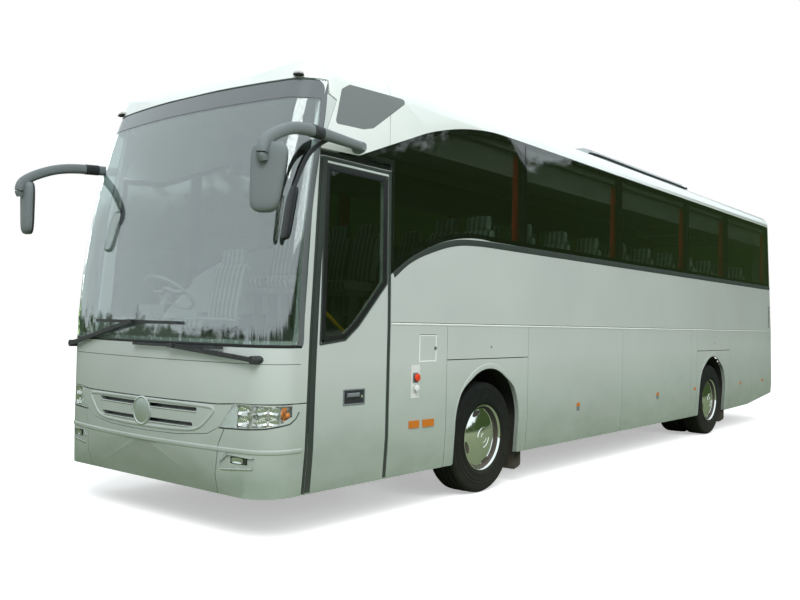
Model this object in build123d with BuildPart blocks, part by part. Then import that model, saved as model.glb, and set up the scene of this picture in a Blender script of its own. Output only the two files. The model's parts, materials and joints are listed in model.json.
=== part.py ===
"""A two-axle touring coach, built from its real pieces.

Frame: +Z up, the coach's front looks along -Y, its left flank (the kerb side, with the front door)
lies towards +X.  The origin is the centre of the whole coach's box, on the ground.
Lengths are millimetres.  Heights are above the ground.  Places along the coach are first given
behind the front axle ("aft"), which is how a coach builder's drawing gives them, and y_at() turns
them into Y.
"""
from build123d import *
from math import cos, radians, sin, sqrt, tan
import os

# ---------------------------------------------------------------- driving sizes
BODY_LENGTH = 12140
BODY_HALF_WIDTH = 1275
WHEELBASE = 6080
FRONT_OVERHANG = 2825          # front axle to the foremost point of the body
MIRROR_REACH = 275             # the mirrors stand this far ahead of the body
ROOF_HEIGHT = 3590

SKIRT_Z = 320                  # lower edge of the flanks
SKIRT_TUCK = 20                # the flank leans in this much at its lower edge
TUCK_Z = 640                   # and is upright from here
WAIST_Z = 1532                 # the bright rail along the flank
GUTTER_Z = 3344                # side glass ends, roof begins
TUMBLEHOME = 35                # the flank leans in this much between waist and gutter

NOSE_CROWN_R = 6000            # plan radius of the nose
NOSE_CORNER_R = 260            # plan radius of the front corners
SCREEN_FOOT_Z = 1300           # the nose is upright below this, and leans back in an arc above
SCREEN_ARC_R = 5800
TAIL_CROWN_R = 20000
TAIL_CORNER_R = 200
TAIL_FOOT_Z = 600              # the tail leans forward from here up
TAIL_LEAN_DEG = 4.7

WALL = 50                      # whole wall: outer panel, frame and lining
GLASS = 10                     # pane and its bond, flush with the outer panel
GAP = 8                        # shut line between two panels
SEAT_GAP = 0.3                 # between a piece and what carries it

Y_FRONT_AXLE = (FRONT_OVERHANG + MIRROR_REACH - (BODY_LENGTH - FRONT_OVERHANG)) / 2
Y_REAR_AXLE = Y_FRONT_AXLE + WHEELBASE
Y_NOSE = Y_FRONT_AXLE - FRONT_OVERHANG
Y_TAIL = Y_NOSE + BODY_LENGTH


def y_at(aft):
    """Y of a place given in millimetres behind the front axle."""
    return Y_FRONT_AXLE + aft


def yz(*points):
    """Points of the side elevation, given as (aft, height)."""
    return [(y_at(aft), z) for aft, z in points]


# ---------------------------------------------------------------- outer form
def half_width(z):
    """Half the body's width at a height: tucked in below, upright, then leaning in."""
    if z < TUCK_Z:
        return BODY_HALF_WIDTH - SKIRT_TUCK * (TUCK_Z - z) / (TUCK_Z - SKIRT_Z)
    return BODY_HALF_WIDTH - TUMBLEHOME * max(0, z - WAIST_Z) / (GUTTER_Z - WAIST_Z)


def nose_rake(z):
    """How far the nose has leaned back at a height."""
    rise = max(0, z - SCREEN_FOOT_Z)
    return SCREEN_ARC_R - sqrt(SCREEN_ARC_R ** 2 - rise ** 2)


def tail_lean(z):
    """How far the tail has leaned forward at a height."""
    return max(0, z - TAIL_FOOT_Z) * tan(radians(TAIL_LEAN_DEG))


def crown_drop(radius, x):
    """How far an arc of that radius has fallen back at x from its middle."""
    return radius - sqrt(radius ** 2 - x ** 2)


def y_nose(z, x=0):
    """Y of the nose at a height and x, between the rounded corners."""
    return Y_NOSE + nose_rake(z) + crown_drop(NOSE_CROWN_R, x)


def y_tail(z, x=0):
    """Y of the tail at a height and x, between the rounded corners."""
    return Y_TAIL - tail_lean(z) - crown_drop(TAIL_CROWN_R, x)


PLAN_LEVELS = [SKIRT_Z - 120, TUCK_Z, SCREEN_FOOT_Z, WAIST_Z, 1900, 2300, 2700, 3100, 3400, 3700]
ROOF_CORNER_R = 272            # roof edge, in cross-section
ROOF_CORNER_Z = 3290           # height of its centre
BROW_R = 436                   # roof front edge, in side elevation
BROW_CENTRE = (-2098, 3062)    # (aft, height)
BROW_TO_TOP_R = 9900           # the roof then rises slowly along this arc
BROW_JOIN_DEG = 8              # slope where the two arcs meet
BUMPER_TUCK = 95               # the bumper's lower edge lies this far back
TAIL_EDGE_R = 250              # roof rear edge
TAIL_RISE = ((6663, SKIRT_Z), (7810, 341), (9160, 473), (9330, 620))


def plan_outline(z, inset):
    """The body's outline at one height, seen from above."""
    w = half_width(z) - inset
    nose = y_nose(z) + inset
    tail = y_tail(z) - inset
    nose_side = nose + crown_drop(NOSE_CROWN_R, w)
    tail_side = tail - crown_drop(TAIL_CROWN_R, w)
    with BuildSketch(Plane.XY.offset(z)) as outline:
        with BuildLine():
            ThreePointArc((-w, nose_side), (0, nose), (w, nose_side))
            Line((w, nose_side), (w, tail_side))
            ThreePointArc((w, tail_side), (0, tail), (-w, tail_side))
            Line((-w, tail_side), (-w, nose_side))
        make_face()
        corners = outline.vertices().sort_by(Axis.Y)
        fillet(corners[:2], NOSE_CORNER_R - inset)
        corners = outline.vertices().sort_by(Axis.Y)
        fillet(corners[-2:], TAIL_CORNER_R - inset)
    return outline.sketch


def cross_section(inset, floor):
    """Roof and its rounded edges, seen along the coach; the flanks lie outside the body here."""
    edge_x = BODY_HALF_WIDTH - TUMBLEHOME - ROOF_CORNER_R + 4
    r = ROOF_CORNER_R - inset
    side_z = ROOF_CORNER_Z - 60
    outside = BODY_HALF_WIDTH + 40
    top_z = ROOF_HEIGHT - inset
    bend_x = edge_x + 13
    bend_z = ROOF_CORNER_Z + sqrt(r ** 2 - 13 ** 2)
    start = (edge_x + r * cos(radians(2)), ROOF_CORNER_Z + r * sin(radians(2)))
    mid = (edge_x + r * cos(radians(45)), ROOF_CORNER_Z + r * sin(radians(45)))
    with BuildSketch(Plane.XZ) as section:
        with BuildLine():
            Polyline((-start[0], start[1]), (-outside, side_z), (-outside, floor),
                     (outside, floor), (outside, side_z), start)
            ThreePointArc(start, mid, (bend_x, bend_z))
            ThreePointArc((bend_x, bend_z), (0, top_z), (-bend_x, bend_z))
            ThreePointArc((-bend_x, bend_z), (-mid[0], mid[1]), (-start[0], start[1]))
        make_face()
    return section.sketch


def side_profile(inset, floor):
    """Brow, roof line, tail edge, and the lower edges of bumper and tail, seen from the side."""
    cy, cz = y_at(BROW_CENTRE[0]), BROW_CENTRE[1]
    r = BROW_R - inset

    def on_brow(deg):
        return (cy - r * sin(radians(deg)), cz + r * cos(radians(deg)))

    top_z = ROOF_HEIGHT - inset + 2
    join = on_brow(BROW_JOIN_DEG)
    rise = top_z - join[1]
    run = rise / tan(radians(BROW_JOIN_DEG / 2))
    half = BROW_JOIN_DEG / 2
    big_r = rise / (1 - cos(radians(BROW_JOIN_DEG)))
    half_way = (join[0] + big_r * (sin(radians(BROW_JOIN_DEG)) - sin(radians(half))),
                join[1] + big_r * (cos(radians(half)) - cos(radians(BROW_JOIN_DEG))))
    roof_start = (join[0] + run, top_z)
    tail_r = TAIL_EDGE_R - inset
    tail_x = y_tail(ROOF_HEIGHT - TAIL_EDGE_R) - inset
    tail_z = top_z - tail_r
    nose_x = Y_NOSE + inset
    lower_nose = (nose_x + BUMPER_TUCK, SKIRT_Z if inset == 0 else floor)
    tail_rise = yz(*TAIL_RISE) if inset == 0 else [(Y_TAIL + 100, floor)]
    with BuildSketch(Plane.YZ) as profile:
        with BuildLine():
            Polyline(on_brow(78), (nose_x - 60, 3000), (nose_x - 60, TUCK_Z + 160), (nose_x, TUCK_Z),
                     lower_nose, *tail_rise, (Y_TAIL + 100, 760), (Y_TAIL + 100, tail_z - 200),
                     (tail_x, tail_z))
            ThreePointArc((tail_x, tail_z),
                          (tail_x - tail_r * (1 - cos(radians(45))), tail_z + tail_r * sin(radians(45))),
                          (tail_x - tail_r, top_z))
            Line((tail_x - tail_r, top_z), roof_start)
            ThreePointArc(roof_start, half_way, join)
            ThreePointArc(join, on_brow(40), on_brow(78))
        make_face()
    return profile.sketch


def body_form(inset):
    """The whole body as one closed form, shrunk by an inset; a shrunk one is open downwards."""
    floor = SKIRT_Z - 100
    with BuildPart() as form:
        for z in PLAN_LEVELS:
            add(plan_outline(z, inset))
        loft(ruled=True)
        extrude(cross_section(inset, floor), amount=BODY_LENGTH, both=True, mode=Mode.INTERSECT)
        extrude(side_profile(inset, floor), amount=2 * BODY_HALF_WIDTH, both=True, mode=Mode.INTERSECT)
    return form.part



OUTER = body_form(0)
GLASS_LINE = body_form(GLASS)
INNER = body_form(WALL)
SEAT_LINE = body_form(WALL + SEAT_GAP)

with BuildPart() as wall:
    add(OUTER)
    add(INNER, mode=Mode.SUBTRACT)
with BuildPart() as skin:
    add(OUTER)
    add(GLASS_LINE, mode=Mode.SUBTRACT)
with BuildPart() as backing:
    add(GLASS_LINE)
    add(INNER, mode=Mode.SUBTRACT)

os.makedirs("parts", exist_ok=True)


def finish(piece, name):
    """Label a finished piece and write it to its own file."""
    piece.label = name
    export_step(piece, f"parts/{name}.step")


# ---------------------------------------------------------------- helpers for panels
FAR = 4000                     # longer than any cut needs to reach


def outline(plane, points, corner=0):
    """A flat closed outline, its corners rounded if a radius is given."""
    with BuildSketch(plane) as sketch:
        with BuildLine():
            Polyline(*points, close=True)
        make_face()
        if corner:
            fillet(sketch.vertices(), corner)
    return sketch.sketch


def side_outline(points, corner=0):
    """An outline in side elevation, given as (aft, height)."""
    return outline(Plane.YZ, yz(*points), corner)


def front_outline(points, corner=0):
    """An outline in front elevation, given as (x, height)."""
    return outline(Plane.XZ, points, corner)


def shrunk(sketch, by):
    """The same outline, smaller all round; a negative value makes it larger."""
    return offset(sketch, amount=-by, kind=Kind.INTERSECTION)


def flank_piece(shell, sketch, side):
    """What a side outline cuts from a shell on one flank: side is 1 on the left, -1 on the right."""
    with BuildPart() as piece:
        add(shell)
        extrude(sketch, amount=side * FAR, mode=Mode.INTERSECT)
    return piece.part


def nose_piece(shell, sketch):
    """What a front outline cuts from the front of a shell."""
    with BuildPart() as piece:
        add(shell)
        extrude(sketch, amount=2 * FAR, mode=Mode.INTERSECT)
    return piece.part


def tail_piece(shell, sketch):
    """What a front outline cuts from the rear of a shell."""
    with BuildPart() as piece:
        add(shell)
        extrude(sketch, amount=-2 * FAR, mode=Mode.INTERSECT)
    return piece.part


# ---------------------------------------------------------------- lines of the side elevation
SHUT = GAP / 2                 # each panel stops this far from a shut line
DOOR_FRONT = ((-2372, SKIRT_Z - 20), (-2343, 1500), (-2282, 2417), (-2258, 2790))
DOOR_REAR = -1450
DOOR_TOP_Z = 2790
DOOR_LEAF_TOP_Z = 2745         # a rubber seal fills the rest
SCREEN_EDGE = ((-2421, 1355), (-2405, 1500), (-2331, 2407), (-2230, 2976), (-2186, 3300))
CAP_JOINT = ((-2176, 3200), (-2098, 3172))       # front roof cap above the screen pillar
BODY_SEAM = -1475              # the front roof cap ends, the roof begins
BAND_TOP = ((-1450, 1925), (-950, 2180), (0, 2313))   # lower edge of the side glass, an arc
CAB_SILL = ((-2343, 1381), (-1961, 1421), (-1832, 1522), (-1490, 1856), (-1450, 1900))
WEDGE_TIP = (-2056, 2799)      # the side glass runs forward over the door to here
SWOOSH = ((-1891, 2803), (-1775, 2833), (-1000, 3134), (-522, 3262), (200, GUTTER_Z))
PANE_ENDS = (-1450, 622, 2847, 5054, 6709, 9000)
PANE_GAP = 10
TAIL_SEAM = 9070               # up to the waist, and it leans with the tail above
QUARTER = ((-2110, 2999), (-2045, 3270), (-1958, 3322), (-1343, 3352), (-1244, 3348),
           (-1340, 3281), (-1680, 3044), (-1797, 3014))


def seam_at(z):
    """How far aft the seam between flank and tail lies at a height."""
    return TAIL_SEAM - max(0, tail_lean(z) - tail_lean(WAIST_Z))


# ---------------------------------------------------------------- lower flank
ARCH_HALF = {"front": 547, "rear": 580}
ARCH_TOP_Z = {"front": 1190, "rear": 1196}
AXLE_AT = {"front": 0, "rear": WHEELBASE}
LUGGAGE_DOORS = {"front": (696, 2900), "rear": (2900, 5164)}       # from, to (aft)
ARCH_PANELS = {"front": (-676, 696), "rear": (5405, 6844)}
PLAIN_PANELS = ((-1450, -676), (5164, 5405), (6844, 7972), (7972, TAIL_SEAM))
FLAP_SILL_Z = 1236             # the flap over each wheel arch begins here
HINGE_R = 6                    # the bright waist rail, on which the doors below it hang
HINGE_X = BODY_HALF_WIDTH - 3
HINGE_CLEAR = 0.3


def arch_outline(which):
    """A wheel arch: round on top, with upright sides."""
    half, top, middle = ARCH_HALF[which], ARCH_TOP_Z[which], AXLE_AT[which]
    with BuildSketch(Plane.YZ) as arch:
        with BuildLine():
            Polyline(*yz((middle - half, top - half), (middle - half, 0), (middle + half, 0),
                         (middle + half, top - half)))
            ThreePointArc(*yz((middle + half, top - half), (middle, top), (middle - half, top - half)))
        make_face()
    return arch.sketch


def lower_panel(start, end, top_z):
    """A panel below the waist, between two shut lines."""
    return side_outline(((start + SHUT, 0), (end - SHUT, 0), (end - SHUT, top_z),
                         (start + SHUT, top_z)))


def waist_rail(side, start, end):
    """The round rail along the waist."""
    with BuildPart() as rail:
        with BuildSketch(Plane.XZ.offset(-y_at(start))):
            with Locations((side * HINGE_X, WAIST_Z)):
                Circle(HINGE_R)
        extrude(amount=-(end - start))
    return rail.part


def rail_groove(side, start, end):
    """The hollow in the panels below that the waist rail lies in."""
    with BuildPart() as groove:
        with BuildSketch(Plane.XZ.offset(-y_at(start))):
            with Locations((side * HINGE_X, WAIST_Z)):
                Circle(HINGE_R + HINGE_CLEAR)
        extrude(amount=-(end - start))
    return groove.part


def hung_panel(sketch, side, start, end):
    """A panel below the waist whose top edge is hollowed round the waist rail."""
    with BuildPart() as panel:
        add(flank_piece(wall.part, sketch, side))
        add(rail_groove(side, start, end), mode=Mode.SUBTRACT)
    return panel.part


SIDES = {"left": 1, "right": -1}
for side_name, side in SIDES.items():
    for place, (start, end) in LUGGAGE_DOORS.items():
        finish(hung_panel(lower_panel(start, end, WAIST_Z - 1), side, start, end),
               f"luggage_door_{place}_{side_name}")
    for place, (start, end) in ARCH_PANELS.items():
        flap = side_outline(((start + SHUT, FLAP_SILL_Z + SHUT), (end - SHUT, FLAP_SILL_Z + SHUT),
                             (end - SHUT, WAIST_Z - 1), (start + SHUT, WAIST_Z - 1)))
        finish(hung_panel(flap, side, start, end), f"arch_flap_{place}_{side_name}")


def arch_panel(side, place, start, end):
    """The skirt round a wheel arch, below the flap that opens over it."""
    with BuildPart() as panel:
        add(flank_piece(wall.part, lower_panel(start, end, FLAP_SILL_Z - SHUT), side))
        extrude(arch_outline(place), amount=side * FAR, mode=Mode.SUBTRACT)
    return panel.part


with BuildPart() as skirt_panels:
    for side in SIDES.values():
        for start, end in PLAIN_PANELS:
            add(hung_panel(lower_panel(start, end, WAIST_Z - 1), side, start, end))
        for place, (start, end) in ARCH_PANELS.items():
            add(arch_panel(side, place, start, end))
finish(skirt_panels.part, "skirt_panels")

# ---------------------------------------------------------------- flank above the waist
VENT_SLOTS = 8
VENT_FROM, VENT_TO = 8878, 8969
VENT_Z = (1592, 1970)
VENT_SLOT_H = 26


def upper_flank(start_points):
    """Flank between waist and side glass, from the given front edge to the tail seam."""
    with BuildSketch(Plane.YZ) as sketch:
        with BuildLine():
            Polyline(*yz(BAND_TOP[0], *start_points,
                         (seam_at(WAIST_Z) - SHUT, WAIST_Z + SHUT),
                         (seam_at(BAND_TOP[2][1]) - SHUT, BAND_TOP[2][1]), BAND_TOP[2]))
            ThreePointArc(*yz(BAND_TOP[2], BAND_TOP[1], BAND_TOP[0]))
        make_face()
    return sketch.sketch


def vent_slots(side):
    """Upright stack of slots low in the tail end of a flank."""
    pitch = (VENT_Z[1] - VENT_Z[0]) / VENT_SLOTS
    with BuildPart() as slots:
        with BuildSketch(Plane.YZ):
            with Locations(*[(y_at((VENT_FROM + VENT_TO) / 2), VENT_Z[0] + pitch * (i + 0.5))
                             for i in range(VENT_SLOTS)]):
                Rectangle(VENT_TO - VENT_FROM, VENT_SLOT_H)
        extrude(amount=side * FAR)
    return slots.part


CAB_FRONT = [(aft + SHUT + 4, z) for aft, z in DOOR_FRONT]      # rear of the screen pillar


def upper_wall(side):
    """One flank above the waist, with its rail and slots; on the right it runs down beside the driver."""
    if side > 0:
        front_edge = ((DOOR_REAR + SHUT, BAND_TOP[0][1]), (DOOR_REAR + SHUT, WAIST_Z + SHUT))
    else:
        cab_end = PLAIN_PANELS[0][0] - SHUT
        front_edge = ((CAB_SILL[3]), (CAB_SILL[2]), (CAB_SILL[1]), (CAB_FRONT[1][0], CAB_SILL[0][1]),
                      (CAB_FRONT[0][0], 0), (cab_end, 0), (cab_end, WAIST_Z + SHUT))
    with BuildPart() as flank:
        add(flank_piece(wall.part, upper_flank(front_edge), side))
        add(waist_rail(side, DOOR_REAR + SHUT, TAIL_SEAM - 60))
        add(vent_slots(side), mode=Mode.SUBTRACT)
    return flank.part


with BuildPart() as side_walls:
    for side in SIDES.values():
        add(upper_wall(side))
finish(side_walls.part, "side_walls")

# ---------------------------------------------------------------- side glass and the frames behind it
FRAME_LAP = 45                 # a pane laps the frame behind it by this much


def glass_area(side):
    """The whole glazed band of one flank, from the cab to the tail."""
    seam_low, seam_high = seam_at(BAND_TOP[2][1]), seam_at(GUTTER_Z)
    with BuildSketch(Plane.YZ) as area:
        with BuildLine():
            if side > 0:
                front = ((DOOR_REAR, DOOR_TOP_Z + SHUT), WEDGE_TIP, SWOOSH[0])
            else:
                front = (CAB_SILL[3], CAB_SILL[2], CAB_SILL[1], (CAB_FRONT[1][0] - SHUT, CAB_SILL[0][1]),
                         (CAB_FRONT[2][0] - SHUT, CAB_FRONT[2][1]), (CAB_FRONT[3][0] - SHUT, 2780),
                         SWOOSH[0])
            Polyline(*yz(BAND_TOP[0], *front))
            ThreePointArc(*yz(SWOOSH[0], ((SWOOSH[0][0] + SWOOSH[1][0]) / 2, 2810), SWOOSH[1]))
            Line(*yz(SWOOSH[1], SWOOSH[2]))
            ThreePointArc(*yz(SWOOSH[2], SWOOSH[3], SWOOSH[4]))
            Polyline(*yz(SWOOSH[4], (seam_high, GUTTER_Z), (seam_low, BAND_TOP[2][1]), BAND_TOP[2]))
            ThreePointArc(*yz(BAND_TOP[2], BAND_TOP[1], BAND_TOP[0]))
        make_face()
    return area.sketch


def pane_slice(start, end):
    """The upright slice of the flank that one pane fills."""
    return side_outline(((start + PANE_GAP / 2, 1000), (end - PANE_GAP / 2, 1000),
                         (end - PANE_GAP / 2, 3500), (start + PANE_GAP / 2, 3500)))


def pane_outlines(side):
    """Each pane's outline, and the clear opening behind it."""
    area = shrunk(glass_area(side), SEAT_GAP)
    starts = (-2400,) + PANE_ENDS[1:-1] if side > 0 else (-2400, PANE_ENDS[0]) + PANE_ENDS[1:-1]
    ends = PANE_ENDS[1:] if side > 0 else PANE_ENDS
    for start, end in zip(starts, ends):
        yield area & pane_slice(start, end)


with BuildPart() as side_glass:
    for side in SIDES.values():
        for pane in pane_outlines(side):
            add(flank_piece(skin.part, pane, side))
finish(side_glass.part, "side_glass")


def window_frame(side):
    """One flank's frame behind the panes: a ring with a pillar behind each joint of the glass."""
    with BuildPart() as frame:
        add(flank_piece(backing.part, shrunk(glass_area(side), SEAT_GAP), side))
        for pane in pane_outlines(side):
            extrude(shrunk(pane, FRAME_LAP), amount=side * FAR, mode=Mode.SUBTRACT)
    return frame.part


with BuildPart() as window_frames:
    for side in SIDES.values():
        add(window_frame(side))
finish(window_frames.part, "window_frames")

# ---------------------------------------------------------------- roof
NOSE_CUT = -3200               # well ahead of the nose
TAIL_CUT = 9700                # well behind the tail
HIGH = 3900
SCREEN_TOP_Z = 3300
TAIL_TOP_Z = 3300              # the tail panel ends here


def swoosh_line():
    """The roof's lower edge on the flank, as edges for a sketch under way."""
    ThreePointArc(*yz(SWOOSH[0], ((SWOOSH[0][0] + SWOOSH[1][0]) / 2, 2810), SWOOSH[1]))
    Line(*yz(SWOOSH[1], SWOOSH[2]))
    ThreePointArc(*yz(SWOOSH[2], SWOOSH[3], SWOOSH[4]))


with BuildSketch(Plane.YZ) as above_glass:
    with BuildLine():
        Line(*yz(WEDGE_TIP, SWOOSH[0]))
        swoosh_line()
        Polyline(*yz(SWOOSH[4], (seam_at(GUTTER_Z) + SHUT, GUTTER_Z),
                     (seam_at(TAIL_TOP_Z + SHUT) + SHUT, TAIL_TOP_Z + SHUT), (TAIL_CUT, TAIL_TOP_Z + SHUT),
                     (TAIL_CUT, HIGH), (NOSE_CUT, HIGH), (NOSE_CUT, SCREEN_TOP_Z + SHUT),
                     (SCREEN_EDGE[4][0] + SHUT, SCREEN_TOP_Z + SHUT),
                     (CAP_JOINT[0][0] + SHUT, CAP_JOINT[0][1] + SHUT),
                     (CAP_JOINT[1][0] + SHUT, CAP_JOINT[1][1] + SHUT),
                     (DOOR_FRONT[3][0] + SHUT, DOOR_TOP_Z + SHUT), WEDGE_TIP))
    make_face()

with BuildSketch(Plane.YZ) as ahead_of_seam:
    with Locations((y_at((NOSE_CUT + BODY_SEAM - SHUT) / 2), 3200)):
        Rectangle(BODY_SEAM - SHUT - NOSE_CUT, 1500)
with BuildSketch(Plane.YZ) as behind_seam:
    with Locations((y_at((BODY_SEAM + SHUT + TAIL_CUT) / 2), 3200)):
        Rectangle(TAIL_CUT - BODY_SEAM - SHUT, 1500)
quarter_area = side_outline(QUARTER, 25)


def roof_piece(part_of_length):
    """A length of the roof, without the dark quarter panels let into its skin."""
    with BuildPart() as piece:
        add(wall.part)
        extrude(above_glass.sketch, amount=FAR, both=True, mode=Mode.INTERSECT)
        extrude(part_of_length, amount=FAR, both=True, mode=Mode.INTERSECT)
        for side in SIDES.values():
            add(flank_piece(skin.part, quarter_area, side), mode=Mode.SUBTRACT)
    return piece.part


finish(roof_piece(ahead_of_seam.sketch), "roof_front_cap")
finish(roof_piece(behind_seam.sketch), "roof_shell")

with BuildPart() as quarter_panels:
    for side in SIDES.values():
        add(flank_piece(skin.part, shrunk(quarter_area, SEAT_GAP), side))
finish(quarter_panels.part, "quarter_panels")

# ---------------------------------------------------------------- nose
FLAP_TOP_Z = 1243
FLAP_FOOT = ((-815, 950), (-960, 963), (-1300, 968))      # (x, height), half of its lower edge
GRILLE_HALF = ((0, 698), (-420, 705), (-720, 735), (-825, 786), (-957, 961), (-815, 950), (0, 950))
HEADLAMP_HALF = ((-825, 786), (-1050, 792), (-1190, 802), (-1258, 840), (-1274, 880), (-1274, 963),
                 (-957, 961))
HEADLAMP_REAR = -2424          # the headlamp wraps round the corner to here
FOG_POCKET = ((843, 498), (1128, 520), (1136, 600), (900, 619), (843, 560))    # (x, height)
FOG_LAMP = ((937, 549), (1079, 549), (1079, 600), (937, 600))
BUMPER_SPLIT = ((-877, 786), (-825, 673), (-789, 300))    # shut line between middle and corner
CAP_LOW_Z = 968                # screen pillars stand on the bumper's corners here
SLOT_HALF_WIDTH = {897: 610, 787: 570}
SLOT_H = 28


def both_halves(half):
    """A half outline that starts and ends on the centre line, with its mirror image."""
    other = [(-x, z) for x, z in reversed(half) if x != 0]
    return list(half) + other


flap_outline = front_outline([(-1400, FLAP_TOP_Z), (-1400, 968)] + [(x, z) for x, z in reversed(FLAP_FOOT)]
                             + [(-x, z) for x, z in FLAP_FOOT] + [(1400, 968), (1400, FLAP_TOP_Z)])
grille_outline = front_outline(both_halves(GRILLE_HALF))
lamp_outlines = [front_outline([(side * -x, z) for x, z in HEADLAMP_HALF]) for side in SIDES.values()]

screen_side = side_outline([(NOSE_CUT, SCREEN_EDGE[0][1]), *SCREEN_EDGE, (NOSE_CUT, SCREEN_TOP_Z)])
nose_zone = side_outline([(NOSE_CUT, 0), *[(aft - SHUT, z) for aft, z in DOOR_FRONT],
                          (CAP_JOINT[1][0] - SHUT, CAP_JOINT[1][1] - SHUT),
                          (CAP_JOINT[0][0] - SHUT, CAP_JOINT[0][1] - SHUT), (NOSE_CUT, CAP_JOINT[0][1])])
lamp_zone = side_outline([(NOSE_CUT, 700), (HEADLAMP_REAR, 700), (HEADLAMP_REAR, 1400), (NOSE_CUT, 1400)])


def zone_piece(shell, zone):
    """What a side outline cuts from both flanks and the nose or tail of a shell."""
    with BuildPart() as piece:
        add(shell)
        extrude(zone, amount=FAR, both=True, mode=Mode.INTERSECT)
    return piece.part


nose_wall = zone_piece(wall.part, nose_zone)
lamp_wall = zone_piece(wall.part, lamp_zone)

with BuildPart() as front_flap:
    add(nose_piece(lamp_wall, shrunk(flap_outline, SHUT)))
finish(front_flap.part, "front_flap")

with BuildPart() as grille:
    add(nose_piece(nose_wall, shrunk(grille_outline, SHUT)))
    for z, half in SLOT_HALF_WIDTH.items():
        with BuildSketch(Plane.XZ):
            with Locations((0, z)):
                SlotOverall(2 * half, SLOT_H)
        extrude(amount=2 * FAR, mode=Mode.SUBTRACT)
finish(grille.part, "grille")

fog_pockets = [front_outline([(side * x, z) for x, z in FOG_POCKET], 12) for side in SIDES.values()]
fog_lenses = [front_outline([(side * x, z) for x, z in FOG_LAMP], 8) for side in SIDES.values()]
with BuildPart() as headlamps:
    for lamp in lamp_outlines:
        add(nose_piece(lamp_wall, shrunk(lamp, SHUT)))
    for fog_lens in fog_lenses:
        add(nose_piece(skin.part, fog_lens))
finish(headlamps.part, "headlamps")

with BuildPart() as screen_ring:
    add(zone_piece(backing.part, screen_side))
    extrude(shrunk(screen_side, FRAME_LAP), amount=FAR, both=True, mode=Mode.SUBTRACT)

with BuildPart() as front_frame:
    add(nose_wall)
    extrude(side_outline([(NOSE_CUT, CAP_LOW_Z + SHUT), (-2000, CAP_LOW_Z + SHUT), (-2000, 3400),
                          (NOSE_CUT, 3400)]), amount=FAR, both=True, mode=Mode.INTERSECT)
    extrude(screen_side, amount=FAR, both=True, mode=Mode.SUBTRACT)
    add(nose_piece(lamp_wall, flap_outline), mode=Mode.SUBTRACT)
    add(screen_ring.part)
finish(front_frame.part, "front_frame")

with BuildPart() as windscreen:
    add(zone_piece(skin.part, shrunk(screen_side, SEAT_GAP)))
finish(windscreen.part, "windscreen")

middle_half = [(873, 900)] + [(-x - SHUT, z) for x, z in BUMPER_SPLIT]
middle_zone = front_outline(middle_half + [(-x, z) for x, z in reversed(middle_half)])
corner_zones = [front_outline([(side * (SHUT - x), z) for x, z in BUMPER_SPLIT]
                              + [(side * 1500, 300), (side * 1500, CAP_LOW_Z - SHUT),
                                 (side * 881, CAP_LOW_Z - SHUT)]) for side in SIDES.values()]


def bumper_section(zone):
    """A length of the bumper, cut clear of the grille, the headlamps and the flap above them."""
    with BuildPart() as section:
        add(nose_piece(nose_wall, zone))
        add(nose_piece(nose_wall, grille_outline), mode=Mode.SUBTRACT)
        for lamp in lamp_outlines:
            add(nose_piece(lamp_wall, lamp), mode=Mode.SUBTRACT)
        add(nose_piece(lamp_wall, flap_outline), mode=Mode.SUBTRACT)
        for pocket in fog_pockets:
            add(nose_piece(skin.part, pocket), mode=Mode.SUBTRACT)
    return section.part


with BuildPart() as front_bumper:
    for zone in [middle_zone] + corner_zones:
        add(bumper_section(zone))
finish(front_bumper.part, "front_bumper")

# ---------------------------------------------------------------- tail
ENGINE_LID = (950, 704, 1560)              # half width, from, to height
REAR_WINDOW = (980, 2330, 3160)
TAIL_LAMP = (1025, 1175, 820, 1420)        # from x, to x, from z, to z
LID_HINGE_HALF = 300
tail_zone = side_outline([(TAIL_SEAM + SHUT, 0), (TAIL_SEAM + SHUT, WAIST_Z),
                          (seam_at(TAIL_TOP_Z) + SHUT, TAIL_TOP_Z - SHUT), (TAIL_CUT, TAIL_TOP_Z - SHUT),
                          (TAIL_CUT, 0)])
tail_wall = zone_piece(wall.part, tail_zone)


def rectangle_xz(x0, x1, z0, z1, corner=0):
    """An upright rectangle in front elevation."""
    return front_outline([(x0, z0), (x1, z0), (x1, z1), (x0, z1)], corner)


lid_outline = rectangle_xz(-ENGINE_LID[0], ENGINE_LID[0], ENGINE_LID[1], ENGINE_LID[2])
rear_window_outline = rectangle_xz(-REAR_WINDOW[0], REAR_WINDOW[0], REAR_WINDOW[1], REAR_WINDOW[2], 90)
tail_lamp_outlines = [rectangle_xz(*sorted((side * TAIL_LAMP[0], side * TAIL_LAMP[1])), *TAIL_LAMP[2:], 35)
                      for side in SIDES.values()]
LID_HINGE_Y = y_tail(ENGINE_LID[2]) - 3


def lid_hinge(radius):
    """The round hinge on which the engine lid hangs, of a given radius."""
    with BuildPart() as hinge:
        with BuildSketch(Plane.YZ.offset(-LID_HINGE_HALF)):
            with Locations((LID_HINGE_Y, ENGINE_LID[2])):
                Circle(radius)
        extrude(amount=2 * LID_HINGE_HALF)
    return hinge.part


with BuildPart() as tail_panel:
    add(tail_wall)
    extrude(rectangle_xz(-1500, 1500, 0, ENGINE_LID[1]), amount=-2 * FAR, mode=Mode.SUBTRACT)
    extrude(lid_outline, amount=-2 * FAR, mode=Mode.SUBTRACT)
    extrude(shrunk(rear_window_outline, FRAME_LAP), amount=-2 * FAR, mode=Mode.SUBTRACT)
    add(tail_piece(skin.part, rear_window_outline), mode=Mode.SUBTRACT)
    for lamp in tail_lamp_outlines:
        add(tail_piece(skin.part, lamp), mode=Mode.SUBTRACT)
    add(lid_hinge(HINGE_R))
finish(tail_panel.part, "tail_panel")

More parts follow.
